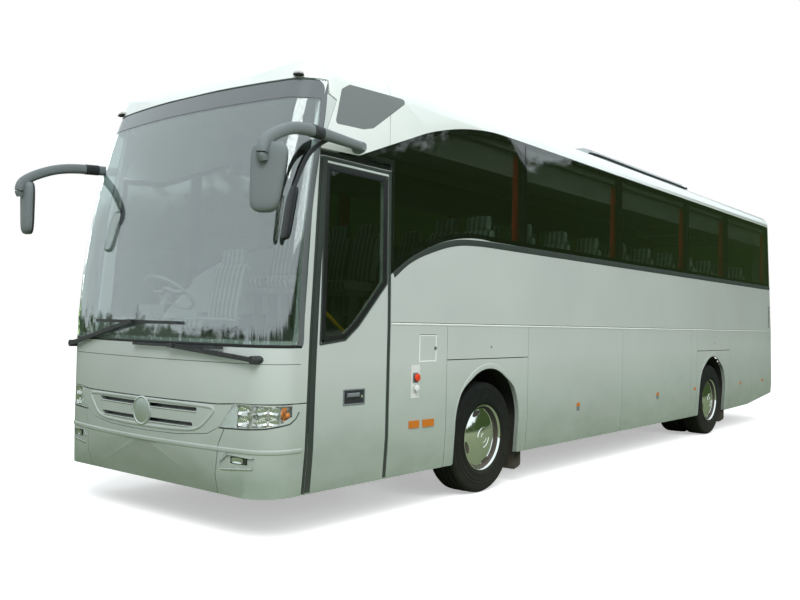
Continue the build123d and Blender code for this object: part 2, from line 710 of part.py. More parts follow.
with BuildPart() as engine_lid:
    add(tail_piece(tail_wall, rectangle_xz(-ENGINE_LID[0] + SHUT, ENGINE_LID[0] - SHUT, ENGINE_LID[1] + SHUT,
                                           ENGINE_LID[2] - 1)))
    add(lid_hinge(HINGE_R + HINGE_CLEAR), mode=Mode.SUBTRACT)
    with BuildSketch(Plane.XZ):
        with Locations(*[(0, 840 + 60 * i) for i in range(5)]):
            SlotOverall(1500, 26)
    extrude(amount=-2 * FAR, mode=Mode.SUBTRACT)
finish(engine_lid.part, "engine_lid")

with BuildPart() as rear_bumper:
    add(tail_piece(tail_wall, rectangle_xz(-1500, 1500, 0, ENGINE_LID[1] - 2 * SHUT)))
finish(rear_bumper.part, "rear_bumper")

with BuildPart() as rear_window:
    add(tail_piece(skin.part, shrunk(rear_window_outline, SEAT_GAP)))
finish(rear_window.part, "rear_window")

with BuildPart() as tail_lamps:
    for lamp in tail_lamp_outlines:
        add(tail_piece(skin.part, shrunk(lamp, SEAT_GAP)))
finish(tail_lamps.part, "tail_lamps")

# ---------------------------------------------------------------- small lamps
FLANK_LAMPS = ((-1126, 722, 130, 60), (-933, 720, 150, 60),        # (aft, z, length, height)
               (1775, 706, 60, 36), (3983, 706, 60, 36), (5320, 709, 50, 36), (7374, 709, 50, 36),
               (8554, 709, 50, 36))
LAMP_PROUD = 9
with BuildPart() as marker_lamps:
    for side in SIDES.values():
        for aft, z, length, height in FLANK_LAMPS:
            with Locations((side * (BODY_HALF_WIDTH + SEAT_GAP + LAMP_PROUD / 2), y_at(aft), z)):
                Box(LAMP_PROUD, length, height)
finish(marker_lamps.part, "marker_lamps")


# ---------------------------------------------------------------- front door
DOOR_SEAL = 20                 # the swinging leaf's front edge needs this much more room
DOOR_AREA = [(aft + DOOR_SEAL, z) for aft, z in DOOR_FRONT[:3]]
DOOR_AREA += [(-2261 + DOOR_SEAL, DOOR_LEAF_TOP_Z + SHUT), (DOOR_REAR, DOOR_LEAF_TOP_Z + SHUT),
              (DOOR_REAR, 300)]
DOOR_GLASS_AREA = [(-2245, 1378), (-1975, 1410), (-1832, 1515), (-1500, 1850), (-1500, 2690), (-2205, 2690)]
DOOR_GLASS_LAP = 30
ARM_PIVOT = (1132, -2210)      # (x, aft) of the upright column at the door's front edge
ARM_END_CLOSED = (1190, -1902)
ARM_BEND = (-114, 143)         # from the pivot: the arm bows inwards round the screen pillar
ARM_HEIGHTS = (700, 1250)
ARM_THICK = 30
ARM_EYE_R = 20
ARM_EYE_H = 40
LUG_T = 10
LUG_CLEAR = 0.5
COLUMN_R = 25
STEP_Z = 400

door_area = side_outline(DOOR_AREA)
door_glass_area = side_outline(DOOR_GLASS_AREA, 40)
with BuildPart() as front_door_leaf:
    add(flank_piece(wall.part, shrunk(door_area, SHUT), 1))
    add(flank_piece(skin.part, door_glass_area, 1), mode=Mode.SUBTRACT)
    extrude(shrunk(door_glass_area, DOOR_GLASS_LAP), amount=FAR, mode=Mode.SUBTRACT)
    for z in ARM_HEIGHTS:
        for above in (1, -1):
            with Locations((ARM_END_CLOSED[0] + 10, y_at(ARM_END_CLOSED[1]),
                            z + above * (ARM_EYE_H / 2 + LUG_CLEAR + LUG_T / 2))):
                Box(2 * (ARM_EYE_R + 10), 2 * ARM_EYE_R, LUG_T)
finish(front_door_leaf.part, "front_door_leaf")

with BuildPart() as front_door_glass:
    add(flank_piece(skin.part, shrunk(door_glass_area, SEAT_GAP), 1))
finish(front_door_glass.part, "front_door_glass")

pivot = (ARM_PIVOT[0], y_at(ARM_PIVOT[1]))
bend = (pivot[0] + ARM_BEND[0], pivot[1] + ARM_BEND[1])
arm_end = (ARM_END_CLOSED[0], y_at(ARM_END_CLOSED[1]))
with BuildPart() as front_door_arm:
    with BuildSketch(Plane.XY.offset(STEP_Z + SEAT_GAP)):
        with Locations(pivot):
            Circle(COLUMN_R)
    extrude(amount=ARM_HEIGHTS[-1] + 200 - STEP_Z)
    for z in ARM_HEIGHTS:
        with BuildSketch(Plane.XY.offset(z - ARM_THICK / 2)):
            with BuildLine():
                Polyline(pivot, bend, arm_end)
            trace(line_width=ARM_THICK)
        extrude(amount=ARM_THICK)
        with BuildSketch(Plane.XY.offset(z - ARM_EYE_H / 2)):
            with Locations(arm_end):
                Circle(ARM_EYE_R)
        extrude(amount=ARM_EYE_H)
finish(front_door_arm.part, "front_door_arm")


# ---------------------------------------------------------------- structure below the floor
def block(x0, x1, aft0, aft1, z0, z1, mode=Mode.ADD):
    """A block between two x's, two places aft and two heights, for the piece under way."""
    with Locations(((x0 + x1) / 2, y_at((aft0 + aft1) / 2), (z0 + z1) / 2)):
        Box(x1 - x0, aft1 - aft0, z1 - z0, mode=mode)


RAIL_X = (410, 490)            # the two chassis rails
RAIL_Z = (740, 920)
FLOOR_RAIL_Z = (340, 420)
CROSS_H = 60
LINER_R = {"front": 655, "rear": 640}
LINER_INNER_X = 560
LINER_T = 6
LINER_CENTRE_Z = 520
HOLD = (700, 5200)             # the luggage hold lies between these
DECK_Z = (1420, 1470)
BEAM_DEPTH = 60
BEYOND_X = 1300                # well outside the body: what reaches here is cut to the inside
CROSS_MEMBERS = ((-1400, -1340), (-700, -LINER_R["front"] - SEAT_GAP),
                 (5190, WHEELBASE - LINER_R["rear"] - SEAT_GAP),
                 (WHEELBASE + LINER_R["rear"] + SEAT_GAP, 6770))
ENGINE_BEARER = (7930, 8010)   # outside the rails only
FRONT_RAIL_Z = (640, 780)      # the rails drop under the entrance steps
TOW_SOCKET = (450, 528, 16, 80)            # x, z, radius, depth, in a boss behind the tail's lower edge
TOW_BOSS = (420, 480, 9180, 9285, 502, 554)    # from x, to x, aft, aft, z, z
SILL_X = 1190                  # floor and hold end here, clear of the hanging doors



def end_beam(z0, z1, front, back):
    """A beam that follows the body's inside round the nose or the tail, from front to back aft."""
    with BuildPart() as beam:
        extrude(plan_outline(z0, WALL + SEAT_GAP), amount=z1 - z0)
        extrude(plan_outline(z0, WALL + BEAM_DEPTH), amount=z1 - z0, mode=Mode.SUBTRACT)
        with Locations((0, y_at((front + back) / 2), (z0 + z1) / 2)):
            Box(2 * BEYOND_X, back - front, z1 - z0 + 10, mode=Mode.INTERSECT)
    return beam.part


RAIL_TAIL_Z = (500, 590)       # the rails drop again behind the engine
END_BEAMS = ((640, 1000, NOSE_CUT, -2440), (*RAIL_TAIL_Z, 8960, TAIL_CUT))     # z, z, aft, aft
with BuildPart() as underframe:
    for side in SIDES.values():
        xs = sorted(side * x for x in RAIL_X)
        block(*xs, -2745, -1340, *FRONT_RAIL_Z)
        block(*xs, -1400, HOLD[0] + 35, *RAIL_Z)
        block(*sorted((side * RAIL_X[0], side * BEYOND_X)), *ENGINE_BEARER, RAIL_Z[0], RAIL_Z[0] + CROSS_H)
        block(*xs, HOLD[1] - 50, 8900, *RAIL_Z)
        block(*xs, HOLD[0], HOLD[1], *FLOOR_RAIL_Z)
        block(*xs, 8800, 8900, RAIL_TAIL_Z[0], RAIL_Z[1])
        block(*xs, 8800, 9220, *RAIL_TAIL_Z)
        for aft in (HOLD[0], HOLD[1] - 35):
            block(*xs, aft, aft + 35, FLOOR_RAIL_Z[0], RAIL_Z[1])
    for aft in (740, 1800, 2870, 4000, 5080):
        block(-SILL_X, SILL_X, aft, aft + 60, *FLOOR_RAIL_Z)
    for start, end in CROSS_MEMBERS:
        block(-BEYOND_X, BEYOND_X, start, end, RAIL_Z[0], RAIL_Z[0] + CROSS_H)
    for beam_place in END_BEAMS:
        add(end_beam(*beam_place))
    add(SEAT_LINE, mode=Mode.INTERSECT)
    for side in SIDES.values():
        block(*sorted((side * (TOW_BOSS[0] - SEAT_GAP), side * (TOW_BOSS[1] + SEAT_GAP))),
              TOW_BOSS[2] - SEAT_GAP, TAIL_CUT, RAIL_TAIL_Z[0] - SHUT, TOW_BOSS[5] + SEAT_GAP,
              mode=Mode.SUBTRACT)
finish(underframe.part, "underframe")

with BuildPart() as towing_bosses:
    for side in SIDES.values():
        block(*sorted((side * TOW_BOSS[0], side * TOW_BOSS[1])), *TOW_BOSS[2:])
        with BuildSketch(Plane.XZ.offset(-y_at(TOW_BOSS[3]))):
            with Locations((side * TOW_SOCKET[0], TOW_SOCKET[1])):
                Circle(TOW_SOCKET[2])
        extrude(amount=TOW_SOCKET[3], mode=Mode.SUBTRACT)
finish(towing_bosses.part, "towing_bosses")

with BuildPart() as luggage_hold:
    block(-SILL_X, SILL_X, HOLD[0] + 45, HOLD[1] - 60, FLOOR_RAIL_Z[1], FLOOR_RAIL_Z[1] + 10)
    for start in (HOLD[0] + 45, HOLD[1] - 70):
        block(-SILL_X, SILL_X, start, start + 10, FLOOR_RAIL_Z[1], DECK_Z[0])
finish(luggage_hold.part, "luggage_hold")

PLATFORM_Z = (1010, 1050)
PLATFORM_X = 350
STEPS = ((1200, 850, STEP_Z), (850, 600, 617), (600, PLATFORM_X, 833))       # (outer x, inner x, height)
STEP_T = 40
SCREEN_ROOM = -2640            # the platform ends here, behind the nose
DUCT_X = 1130
DUCT_Z = (1548, 1600)
DECK_X = 1215
DECK_FROM, DECK_TO = -1390, 8970
with BuildPart() as saloon_floor:
    block(-DECK_X, DECK_X, DECK_FROM, DECK_TO, *DECK_Z)
finish(saloon_floor.part, "saloon_floor")

REAR_LEDGE = 8600              # the rear seats' ledge starts here
with BuildPart() as side_ducts:
    for side in SIDES.values():
        block(*sorted((side * DUCT_X, side * DECK_X)), DECK_FROM, REAR_LEDGE - SEAT_GAP,
              DECK_Z[1] + SEAT_GAP, DUCT_Z[1])
        block(*sorted((side * DUCT_X, side * BEYOND_X)), DECK_FROM, REAR_LEDGE - SEAT_GAP, *DUCT_Z)
    block(-DECK_X, DECK_X, REAR_LEDGE, DECK_TO, DECK_Z[1] + SEAT_GAP, DUCT_Z[1])
    block(-BEYOND_X, BEYOND_X, REAR_LEDGE, 9300, 1575, DUCT_Z[1])
    add(SEAT_LINE, mode=Mode.INTERSECT)
finish(side_ducts.part, "side_ducts")

with BuildPart() as entrance_steps:
    block(-BEYOND_X, PLATFORM_X, DECK_FROM - STEP_T, DECK_FROM - SEAT_GAP, PLATFORM_Z[0], DECK_Z[1])
    block(-BEYOND_X, PLATFORM_X, -2780, DECK_FROM - SEAT_GAP, *PLATFORM_Z)
    for outer, inner, height in STEPS:
        block(inner, outer, -2300, -1440, height - STEP_T, height)
    for (outer, inner, height), (_, _, above) in zip(STEPS, STEPS[1:] + ((0, 0, PLATFORM_Z[1]),)):
        block(inner - 20, inner + 10, -2300, -1440, height - STEP_T, above)
    add(SEAT_LINE, mode=Mode.INTERSECT)
finish(entrance_steps.part, "entrance_steps")

with BuildPart() as engine:
    block(-RAIL_X[0] + SEAT_GAP, RAIL_X[0] - SEAT_GAP, 7250, 8650, 480, 1330)
finish(engine.part, "engine")

# ---------------------------------------------------------------- axles and wheels
TYRE_R = 508
TYRE_WIDTH = 295
TYRE_SHOULDER = 38
RIM_R = 286
FLANGE_R = 304
AXLE_Z = TYRE_R
FRONT_TYRE_X = 1078            # tyre centres
REAR_TYRES_X = (1088, 753)
KINGPIN_X = 900
KINGPIN_R = 22
PIN_CLEAR = 0.05
HUB_R = 120
DISC_X_FROM_CENTRE = 102       # inner face of the wheel's disc, outwards of the tyre's centre


def wheel_plane(x, aft):
    """Upright plane through a wheel's centre, across the coach: local x outwards to the left."""
    return Plane(origin=(x, y_at(aft), AXLE_Z), x_dir=(1, 0, 0), z_dir=(0, -1, 0))


def axle_line(x, aft):
    """The line a wheel turns about."""
    return Axis((x, y_at(aft), AXLE_Z), (1, 0, 0))


def tyre_at(x, aft):
    """A tyre: tread, rounded shoulders, bulging walls and beads."""
    half = TYRE_WIDTH / 2
    with BuildPart() as tyre:
        with BuildSketch(wheel_plane(x, aft)):
            with BuildLine():
                Polyline((-half + 22, RIM_R + 1), (half - 22, RIM_R + 1), (half - 14, FLANGE_R + 22),
                         (half - 3, 400), (half - 14, TYRE_R - 22), (half - TYRE_SHOULDER, TYRE_R),
                         (-half + TYRE_SHOULDER, TYRE_R), (-half + 14, TYRE_R - 22), (-half + 3, 400),
                         (-half + 14, FLANGE_R + 22), close=True)
            make_face()
        revolve(axis=axle_line(x, aft))
    return tyre.part


def rim_at(x, aft, side):
    """A rim with its disc and domed cover; side 1 looks left."""
    with BuildPart() as rim:
        with BuildSketch(wheel_plane(x, aft)):
            with BuildLine():
                Polyline(*[(side * px, r) for px, r in (
                    (-125, RIM_R - 10), (-125, RIM_R), (125, RIM_R), (130, RIM_R - 2), (122, RIM_R - 14),
                    (118, 215), (128, 205), (142, 150), (148, 0), (DISC_X_FROM_CENTRE, 0),
                    (DISC_X_FROM_CENTRE, RIM_R - 10))], close=True)
            make_face()
        revolve(axis=axle_line(x, aft))
    return rim.part


WHEELS = {"front_left": 1, "front_right": -1}
for name, side in WHEELS.items():
    x = side * FRONT_TYRE_X
    finish(tyre_at(x, 0), f"tyre_{name}")
    finish(rim_at(x, 0, side), f"wheel_{name}")

for name, side in (("rear_left", 1), ("rear_right", -1)):
    outer, inner = (side * x for x in REAR_TYRES_X)
    with BuildPart() as twin_tyres:
        add(tyre_at(outer, WHEELBASE))
        add(tyre_at(inner, WHEELBASE))
    finish(twin_tyres.part, f"tyres_{name}")
    with BuildPart() as twin_wheel:
        add(rim_at(outer, WHEELBASE, side))
        with BuildSketch(wheel_plane(inner, WHEELBASE)):
            with Locations((side * 60, RIM_R - 5)):
                Rectangle(400, 10)
        revolve(axis=axle_line(inner, WHEELBASE))
    finish(twin_wheel.part, f"wheels_{name}")

SPRING_R = 100
BEAM_Z = (430, 490)
EYE_R = 48
EYE_Z = (423, 559)
SPRING_X = 450
for name, side in WHEELS.items():
    with BuildPart() as knuckle:
        hub_end = FRONT_TYRE_X + DISC_X_FROM_CENTRE - SEAT_GAP
        with BuildSketch(Plane.YZ.offset(side * (KINGPIN_X + 60))):
            with Locations((Y_FRONT_AXLE, AXLE_Z)):
                Circle(HUB_R)
        extrude(amount=side * (hub_end - KINGPIN_X - 60))
        block(*sorted((side * (KINGPIN_X - 45), side * (KINGPIN_X + 80))), -50, 50, 382, 422)
        block(*sorted((side * (KINGPIN_X - 45), side * (KINGPIN_X + 80))), -50, 50, 560, 600)
        with BuildSketch(Plane.XY.offset(400)):
            with Locations((side * KINGPIN_X, Y_FRONT_AXLE)):
                Circle(KINGPIN_R)
        extrude(amount=180)
    finish(knuckle.part, f"steering_knuckle_{name.split('_')[1]}")

with BuildPart() as front_beam:
    block(-KINGPIN_X + 30, KINGPIN_X - 30, -45, 45, *BEAM_Z)
    for side in SIDES.values():
        for radius, how in ((EYE_R, Mode.ADD), (KINGPIN_R + PIN_CLEAR, Mode.SUBTRACT)):
            with BuildSketch(Plane.XY.offset(EYE_Z[0])):
                with Locations((side * KINGPIN_X, Y_FRONT_AXLE)):
                    Circle(radius)
            extrude(amount=EYE_Z[1] - EYE_Z[0], mode=how)
        with BuildSketch(Plane.XY.offset(BEAM_Z[1])):
            with Locations((side * SPRING_X, Y_FRONT_AXLE)):
                Circle(SPRING_R)
        extrude(amount=RAIL_Z[0] - SEAT_GAP - BEAM_Z[1])

REAR_HUB_END = REAR_TYRES_X[0] + DISC_X_FROM_CENTRE - SEAT_GAP
with BuildPart() as rear_axle:
    for half, radius in ((580, 95), (REAR_HUB_END, HUB_R), (150, 200)):
        with BuildSketch(Plane.YZ.offset(-half)):
            with Locations((Y_REAR_AXLE, AXLE_Z)):
                Circle(radius)
        extrude(amount=2 * half)
    for side in SIDES.values():
        with BuildSketch(Plane.XY.offset(AXLE_Z)):
            with Locations((side * SPRING_X, Y_REAR_AXLE)):
                Circle(SPRING_R)
        extrude(amount=RAIL_Z[0] - SEAT_GAP - AXLE_Z)

with BuildPart() as axles:
    add(front_beam.part)
    add(rear_axle.part)
finish(axles.part, "axles")


def wheel_liner(side, place, radius):
    """The plastic box round a wheel: an arch with its inner wall, open below and to the outside."""
    inner, outer = side * LINER_INNER_X, side * BEYOND_X
    centre_y = y_at(AXLE_AT[place])
    with BuildPart() as liner:
        for r, start in ((radius, inner), (radius - LINER_T, inner + side * LINER_T)):
            with BuildSketch(Plane.YZ.offset(start)):
                with Locations((centre_y, LINER_CENTRE_Z)):
                    Circle(r)
                with Locations((centre_y, LINER_CENTRE_Z - 100)):
                    Rectangle(2 * r, 200)
            extrude(amount=outer - start, mode=Mode.ADD if r == radius else Mode.SUBTRACT)
        with Locations((side * 900, centre_y, LINER_CENTRE_Z - 500)):
            Box(2000, 3000, 760, mode=Mode.SUBTRACT)
        with Locations((inner, centre_y, LINER_CENTRE_Z - 120)):
            Box(100, 340, 560, mode=Mode.SUBTRACT)
        add(SEAT_LINE, mode=Mode.INTERSECT)
    return liner.part


with BuildPart() as wheel_liners:
    for side in SIDES.values():
        for place, radius in LINER_R.items():
            add(wheel_liner(side, place, radius))
finish(wheel_liners.part, "wheel_liners")

# ---------------------------------------------------------------- cab and saloon
SEAT_ROWS = 12
SEAT_PITCH = 780
FIRST_SEAT = -560
SEAT_X = (330, 1110)
PEDESTAL = ((-400, DECK_Z[1]), (-120, DECK_Z[1]), (-120, 1850), (-400, 1850))
CUSHION = ((-470, 1840), (20, 1840), (20, 1970), (-470, 1985))
BACKREST = ((-70, 1900), (40, 1900), (150, 2560), (60, 2620), (30, 2610))
DRIVER = (-600, -1560)         # (x, aft) of the driver's seat


def seat_at(x0, x1, aft, drop):
    """A seat between two x's: pedestal, cushion and backrest; a drop lowers it to another floor."""
    with BuildPart() as seat:
        for shape in (PEDESTAL, CUSHION, BACKREST):
            with BuildSketch(Plane.YZ.offset(x0)):
                with BuildLine():
                    Polyline(*yz(*[(aft + a, z - drop) for a, z in shape]), close=True)
                make_face()
            extrude(amount=x1 - x0)
    return seat.part


with BuildPart() as seats:
    for side in SIDES.values():
        for row in range(SEAT_ROWS):
            if side > 0 and row == 0:
                continue
            add(seat_at(*sorted((side * SEAT_X[0], side * SEAT_X[1])), FIRST_SEAT + row * SEAT_PITCH, 0))
    add(seat_at(DRIVER[0] - 240, DRIVER[0] + 240, DRIVER[1], DECK_Z[1] - PLATFORM_Z[1]))
finish(seats.part, "seats")

DASH_Z = (1252, 1400)
with BuildPart() as dashboard:
    block(-BEYOND_X, BEYOND_X, -2900, -2360, *DASH_Z)
    block(-950, -250, -2560, -2300, DASH_Z[1] - 10, 1540)
    block(-690, -510, -2420, -2290, DASH_Z[1] - 10, 1650)
    block(-1000, -150, -2600, -2420, PLATFORM_Z[1], DASH_Z[0] + 10)
    add(SEAT_LINE, mode=Mode.INTERSECT)
finish(dashboard.part, "dashboard")

STEERING_R = 225
STEERING_TILT = 35
wheel_tilt = Plane(origin=(DRIVER[0], y_at(-2170), 1760), x_dir=(1, 0, 0),
                   z_dir=(0, -sin(radians(STEERING_TILT)), -cos(radians(STEERING_TILT))))
with BuildPart() as steering_wheel:
    with BuildSketch(Plane(origin=wheel_tilt.origin, x_dir=(1, 0, 0), z_dir=wheel_tilt.y_dir)):
        with Locations((STEERING_R, 0)):
            Circle(15)
    revolve(axis=Axis(wheel_tilt.origin, wheel_tilt.z_dir))
    with BuildSketch(wheel_tilt.offset(-12)):
        Circle(70)
        Rectangle(2 * STEERING_R, 40)
    extrude(amount=24)
    with BuildSketch(wheel_tilt):
        Circle(30)
    extrude(amount=165)
finish(steering_wheel.part, "steering_wheel")

CURTAIN_Z = (2360, 3230)
CURTAIN_X = 1150
CURTAIN_HALF = 85
CURTAINS = tuple(PANE_ENDS[1:-1]) + (8850,)
RACK_X = (800, CURTAIN_X - 5)
RACK_Z = (3000, 3200)
RACK_T = 30
CORNICE_Z = (CURTAIN_Z[1] + 10, 3400)      # the racks' cornice is fixed to the roof frame
with BuildPart() as curtains:
    for side in SIDES.values():
        for aft in CURTAINS:
            block(*sorted((side * CURTAIN_X, side * BEYOND_X)), aft - CURTAIN_HALF, aft + CURTAIN_HALF,
                  *CURTAIN_Z)
    add(SEAT_LINE, mode=Mode.INTERSECT)
finish(curtains.part, "curtains")

with BuildPart() as luggage_racks:
    for side in SIDES.values():
        for x0, x1, z0, z1 in ((RACK_X[0], RACK_X[1], RACK_Z[0], RACK_Z[0] + RACK_T),
                               (RACK_X[0], RACK_X[0] + RACK_T, RACK_Z[0], RACK_Z[1]),
                               (RACK_X[1] - RACK_T, RACK_X[1], RACK_Z[0], CORNICE_Z[1]),
                               (RACK_X[1] - RACK_T, BEYOND_X, *CORNICE_Z)):
            block(*sorted((side * x0, side * x1)), -1100, 8760, z0, z1)
    add(SEAT_LINE, mode=Mode.INTERSECT)
finish(luggage_racks.part, "luggage_racks")

# ---------------------------------------------------------------- on the outside
AC_HALF_WIDTH = 1000
AC_FROM, AC_TO = 2647, 5562
AC_TOP_Z = 3705
with BuildPart() as ac_unit:
    with BuildSketch(Plane.XZ.offset(-y_at(AC_FROM))):
        with BuildLine():
            Polyline((-AC_HALF_WIDTH, 3500), (AC_HALF_WIDTH, 3500), (AC_HALF_WIDTH - 40, 3650),
                     (AC_HALF_WIDTH - 150, 3692))
            ThreePointArc((AC_HALF_WIDTH - 150, 3692), (0, AC_TOP_Z), (-AC_HALF_WIDTH + 150, 3692))
            Polyline((-AC_HALF_WIDTH + 150, 3692), (-AC_HALF_WIDTH + 40, 3650), (-AC_HALF_WIDTH, 3500))
        make_face()
    extrude(amount=-(AC_TO - AC_FROM))
    add(OUTER, mode=Mode.SUBTRACT)
finish(ac_unit.part, "ac_unit")

WIPERS = ((1145, 1272, -104, 863, 1345),      # pivot x, z; blade from, to, height
          (-1134, 1310, -677, 421, 1510))
WIPER_STAND = 45               # the arms stand this far off the nose
BLADE_STAND = (18, 34)


def wiper_at(pivot_x, pivot_z, blade_from, blade_to, blade_z):
    """A wiper: post, straight arm and a blade bent to the nose."""
    middle = (blade_from + blade_to) / 2
    start = (pivot_x, y_nose(pivot_z, pivot_x) - WIPER_STAND, pivot_z)
    end = (middle, y_nose(blade_z, middle) - WIPER_STAND, blade_z)
    with BuildPart() as wiper:
        with BuildSketch(Plane.XY.offset(blade_z - 11)):
            add(plan_outline(blade_z, -BLADE_STAND[1]))
            add(plan_outline(blade_z, -BLADE_STAND[0]), mode=Mode.SUBTRACT)
        extrude(amount=22)
        with Locations((middle, y_nose(blade_z), blade_z)):
            Box(blade_to - blade_from, 600, 30, mode=Mode.INTERSECT)
        with BuildLine():
            arm = Line(start, end)
        with BuildSketch(Plane(origin=arm @ 0, x_dir=(0, 0, 1), z_dir=arm % 0)):
            Rectangle(32, 22)
        sweep(path=arm)
        with Locations(end):
            Box(60, 40, 30)
        with BuildSketch(Plane.XZ.offset(-(start[1] - 11))):
            with Locations((pivot_x, pivot_z)):
                Circle(28)
        extrude(amount=-400)
        add(OUTER, mode=Mode.SUBTRACT)
    return wiper.part.solids().sort_by(SortBy.VOLUME)[-1]


with BuildPart() as wipers:
    for place in WIPERS:
        add(wiper_at(*place))
finish(wipers.part, "wipers")

MIRROR_ARM_R = 45
ARM_FRONT = -(FRONT_OVERHANG + MIRROR_REACH) + MIRROR_ARM_R
MIRROR_ARM = ((1302, -1900, 2862), (1400, -2440, 2850), (1450, -2700, 2825), (1490, -2880, 2770),
              (1515, ARM_FRONT + 15, 2665), (1520, ARM_FRONT, 2560))
MIRROR_HEAD = (1520, -2985, 2450)          # centre: x, aft, z
MIRROR_SIZE = (260, 90, 450)
MIRROR_YAW = {"left": 26, "right": 12}
KERB_ARM = ((1370, -2300, 2840), (1310, -2420, 2720), (1300, -2490, 2590), (1300, -2565, 2440))
KERB_HEAD = ((1300, -2555, 2470), (1300, -2635, 2090))
KERB_ARM_R = 14
KERB_SIZE = (84, 44)


def mirror_at(name, side):
    """A hanging mirror: the foot on the pillar, the bent arm and the head; the left has a kerb mirror."""
    turn = radians(side * MIRROR_YAW[name])
    head = Plane(origin=(side * MIRROR_HEAD[0], y_at(MIRROR_HEAD[1]), MIRROR_HEAD[2]),
                 x_dir=(cos(turn), sin(turn), 0), z_dir=(0, 0, 1))
    foot_x = half_width(MIRROR_ARM[0][2] - 50) + SEAT_GAP
    with BuildPart() as mirror:
        with BuildLine():
            path = FilletPolyline(*[(side * x, y_at(aft), z) for x, aft, z in MIRROR_ARM], radius=60)
        with BuildSketch(Plane(origin=path @ 0, z_dir=path % 0)):
            Circle(MIRROR_ARM_R)
        sweep(path=path)
        block(*sorted((side * foot_x, side * 1320)), -1940, -1800, 2812, 2912)
        with BuildSketch(head.offset(-MIRROR_SIZE[2] / 2)):
            RectangleRounded(MIRROR_SIZE[0], MIRROR_SIZE[1], 40)
        extrude(amount=MIRROR_SIZE[2])
        if side > 0:
            with BuildLine():
                kerb = FilletPolyline(*[(x, y_at(aft), z) for x, aft, z in KERB_ARM], radius=40)
            with BuildSketch(Plane(origin=kerb @ 0, z_dir=kerb % 0)):
                Circle(KERB_ARM_R)
            sweep(path=kerb)
            with BuildLine():
                hang = Line(*[(x, y_at(aft), z) for x, aft, z in KERB_HEAD])
            with BuildSketch(Plane(origin=hang @ 0, x_dir=(1, 0, 0), z_dir=hang % 0)):
                RectangleRounded(*KERB_SIZE, 20)
            sweep(path=hang)
    return mirror.part


with BuildPart() as mirrors:
    for name, side in SIDES.items():
        add(mirror_at(name, side))
finish(mirrors.part, "mirrors")
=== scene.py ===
# %% [markdown]
# # A touring coach
# The coach arrives here as plain solids, one for each of its real pieces. Each cell below finishes some of
# them: first the finishes (paint, glass, rubber, chrome, cloth), then the pieces whose shape a plain solid
# can't hold, such as tyres, wheel covers, mirrors, lamps, seats and curtains.
# Lengths are metres. The front looks along -Y, the coach's left side is +X and the floor is z = 0.

# %% Load the solids
import json
import math
import bpy
import bmesh
import numpy as np
from mathutils import Matrix, Vector


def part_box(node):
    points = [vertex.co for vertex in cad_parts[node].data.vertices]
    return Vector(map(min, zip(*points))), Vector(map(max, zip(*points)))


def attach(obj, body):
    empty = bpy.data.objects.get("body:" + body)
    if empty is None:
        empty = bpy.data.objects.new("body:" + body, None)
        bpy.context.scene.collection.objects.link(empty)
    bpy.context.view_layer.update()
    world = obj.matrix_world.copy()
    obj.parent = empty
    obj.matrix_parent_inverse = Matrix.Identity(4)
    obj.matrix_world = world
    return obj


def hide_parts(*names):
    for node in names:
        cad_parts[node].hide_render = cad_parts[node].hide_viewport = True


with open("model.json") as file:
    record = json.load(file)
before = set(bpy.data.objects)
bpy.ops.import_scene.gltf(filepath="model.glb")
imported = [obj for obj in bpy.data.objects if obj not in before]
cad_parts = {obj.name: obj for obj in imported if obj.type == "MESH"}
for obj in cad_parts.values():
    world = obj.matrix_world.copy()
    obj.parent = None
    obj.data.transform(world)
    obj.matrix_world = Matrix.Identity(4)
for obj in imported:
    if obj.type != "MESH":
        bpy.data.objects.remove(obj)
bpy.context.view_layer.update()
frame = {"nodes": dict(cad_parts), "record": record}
nodes = frame["nodes"]

# %% [markdown]
# ## Driving sizes
# Places along the coach are given as a drawing gives them, in metres behind the front axle ("aft"). The axle
# itself is read from the front tyre's box, so every place follows the solids. The body's outer form is a
# formula: upright below the waist, leaning in above it, with a nose that is an arc in plan and in elevation.

# %% Places and the body's outer form
tyre_low, tyre_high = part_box("tyre_front_left")
AXLE_Y = (tyre_low.y + tyre_high.y) / 2
TYRE_R = tyre_high.z / 2
NOSE_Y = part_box("front_bumper")[0].y
REAR_AXLE = 6.080
HALF_WIDTH = 1.275
TUCK_Z = 0.640
WAIST_Z = 1.532
GUTTER_Z = 3.344
LEAN_IN = 0.035
NOSE_BEND_Z = 1.300
NOSE_R = 5.8
CROWN_R = 6.0
CORNER_R = 0.26
SIDES = {"left": 1, "right": -1}


def lean_in(z):
    """How far the side leans in at a height: nothing up to the waist, and all of it at the gutter."""
    return LEAN_IN * np.clip(z - WAIST_Z, 0, None) / (GUTTER_Z - WAIST_Z)


def half_width(z):
    """Half the body's width: 20 mm less at 0.32 m, full from 0.64 m to the waist, then leaning in."""
    return HALF_WIDTH - 0.020 * np.clip((TUCK_Z - z) / 0.320, 0, 2) - lean_in(z)


def nose_y(z):
    """Y of the nose on the centre line: upright at first, then an arc leaning back."""
    return NOSE_Y + NOSE_R - np.sqrt(NOSE_R ** 2 - np.clip(z - NOSE_BEND_Z, 0, None) ** 2)


def corner_start(z):
    """Where the nose's wide arc meets the corner's small arc: the angle of their common normal."""
    return np.arcsin((half_width(z) - CORNER_R) / (CROWN_R - CORNER_R))


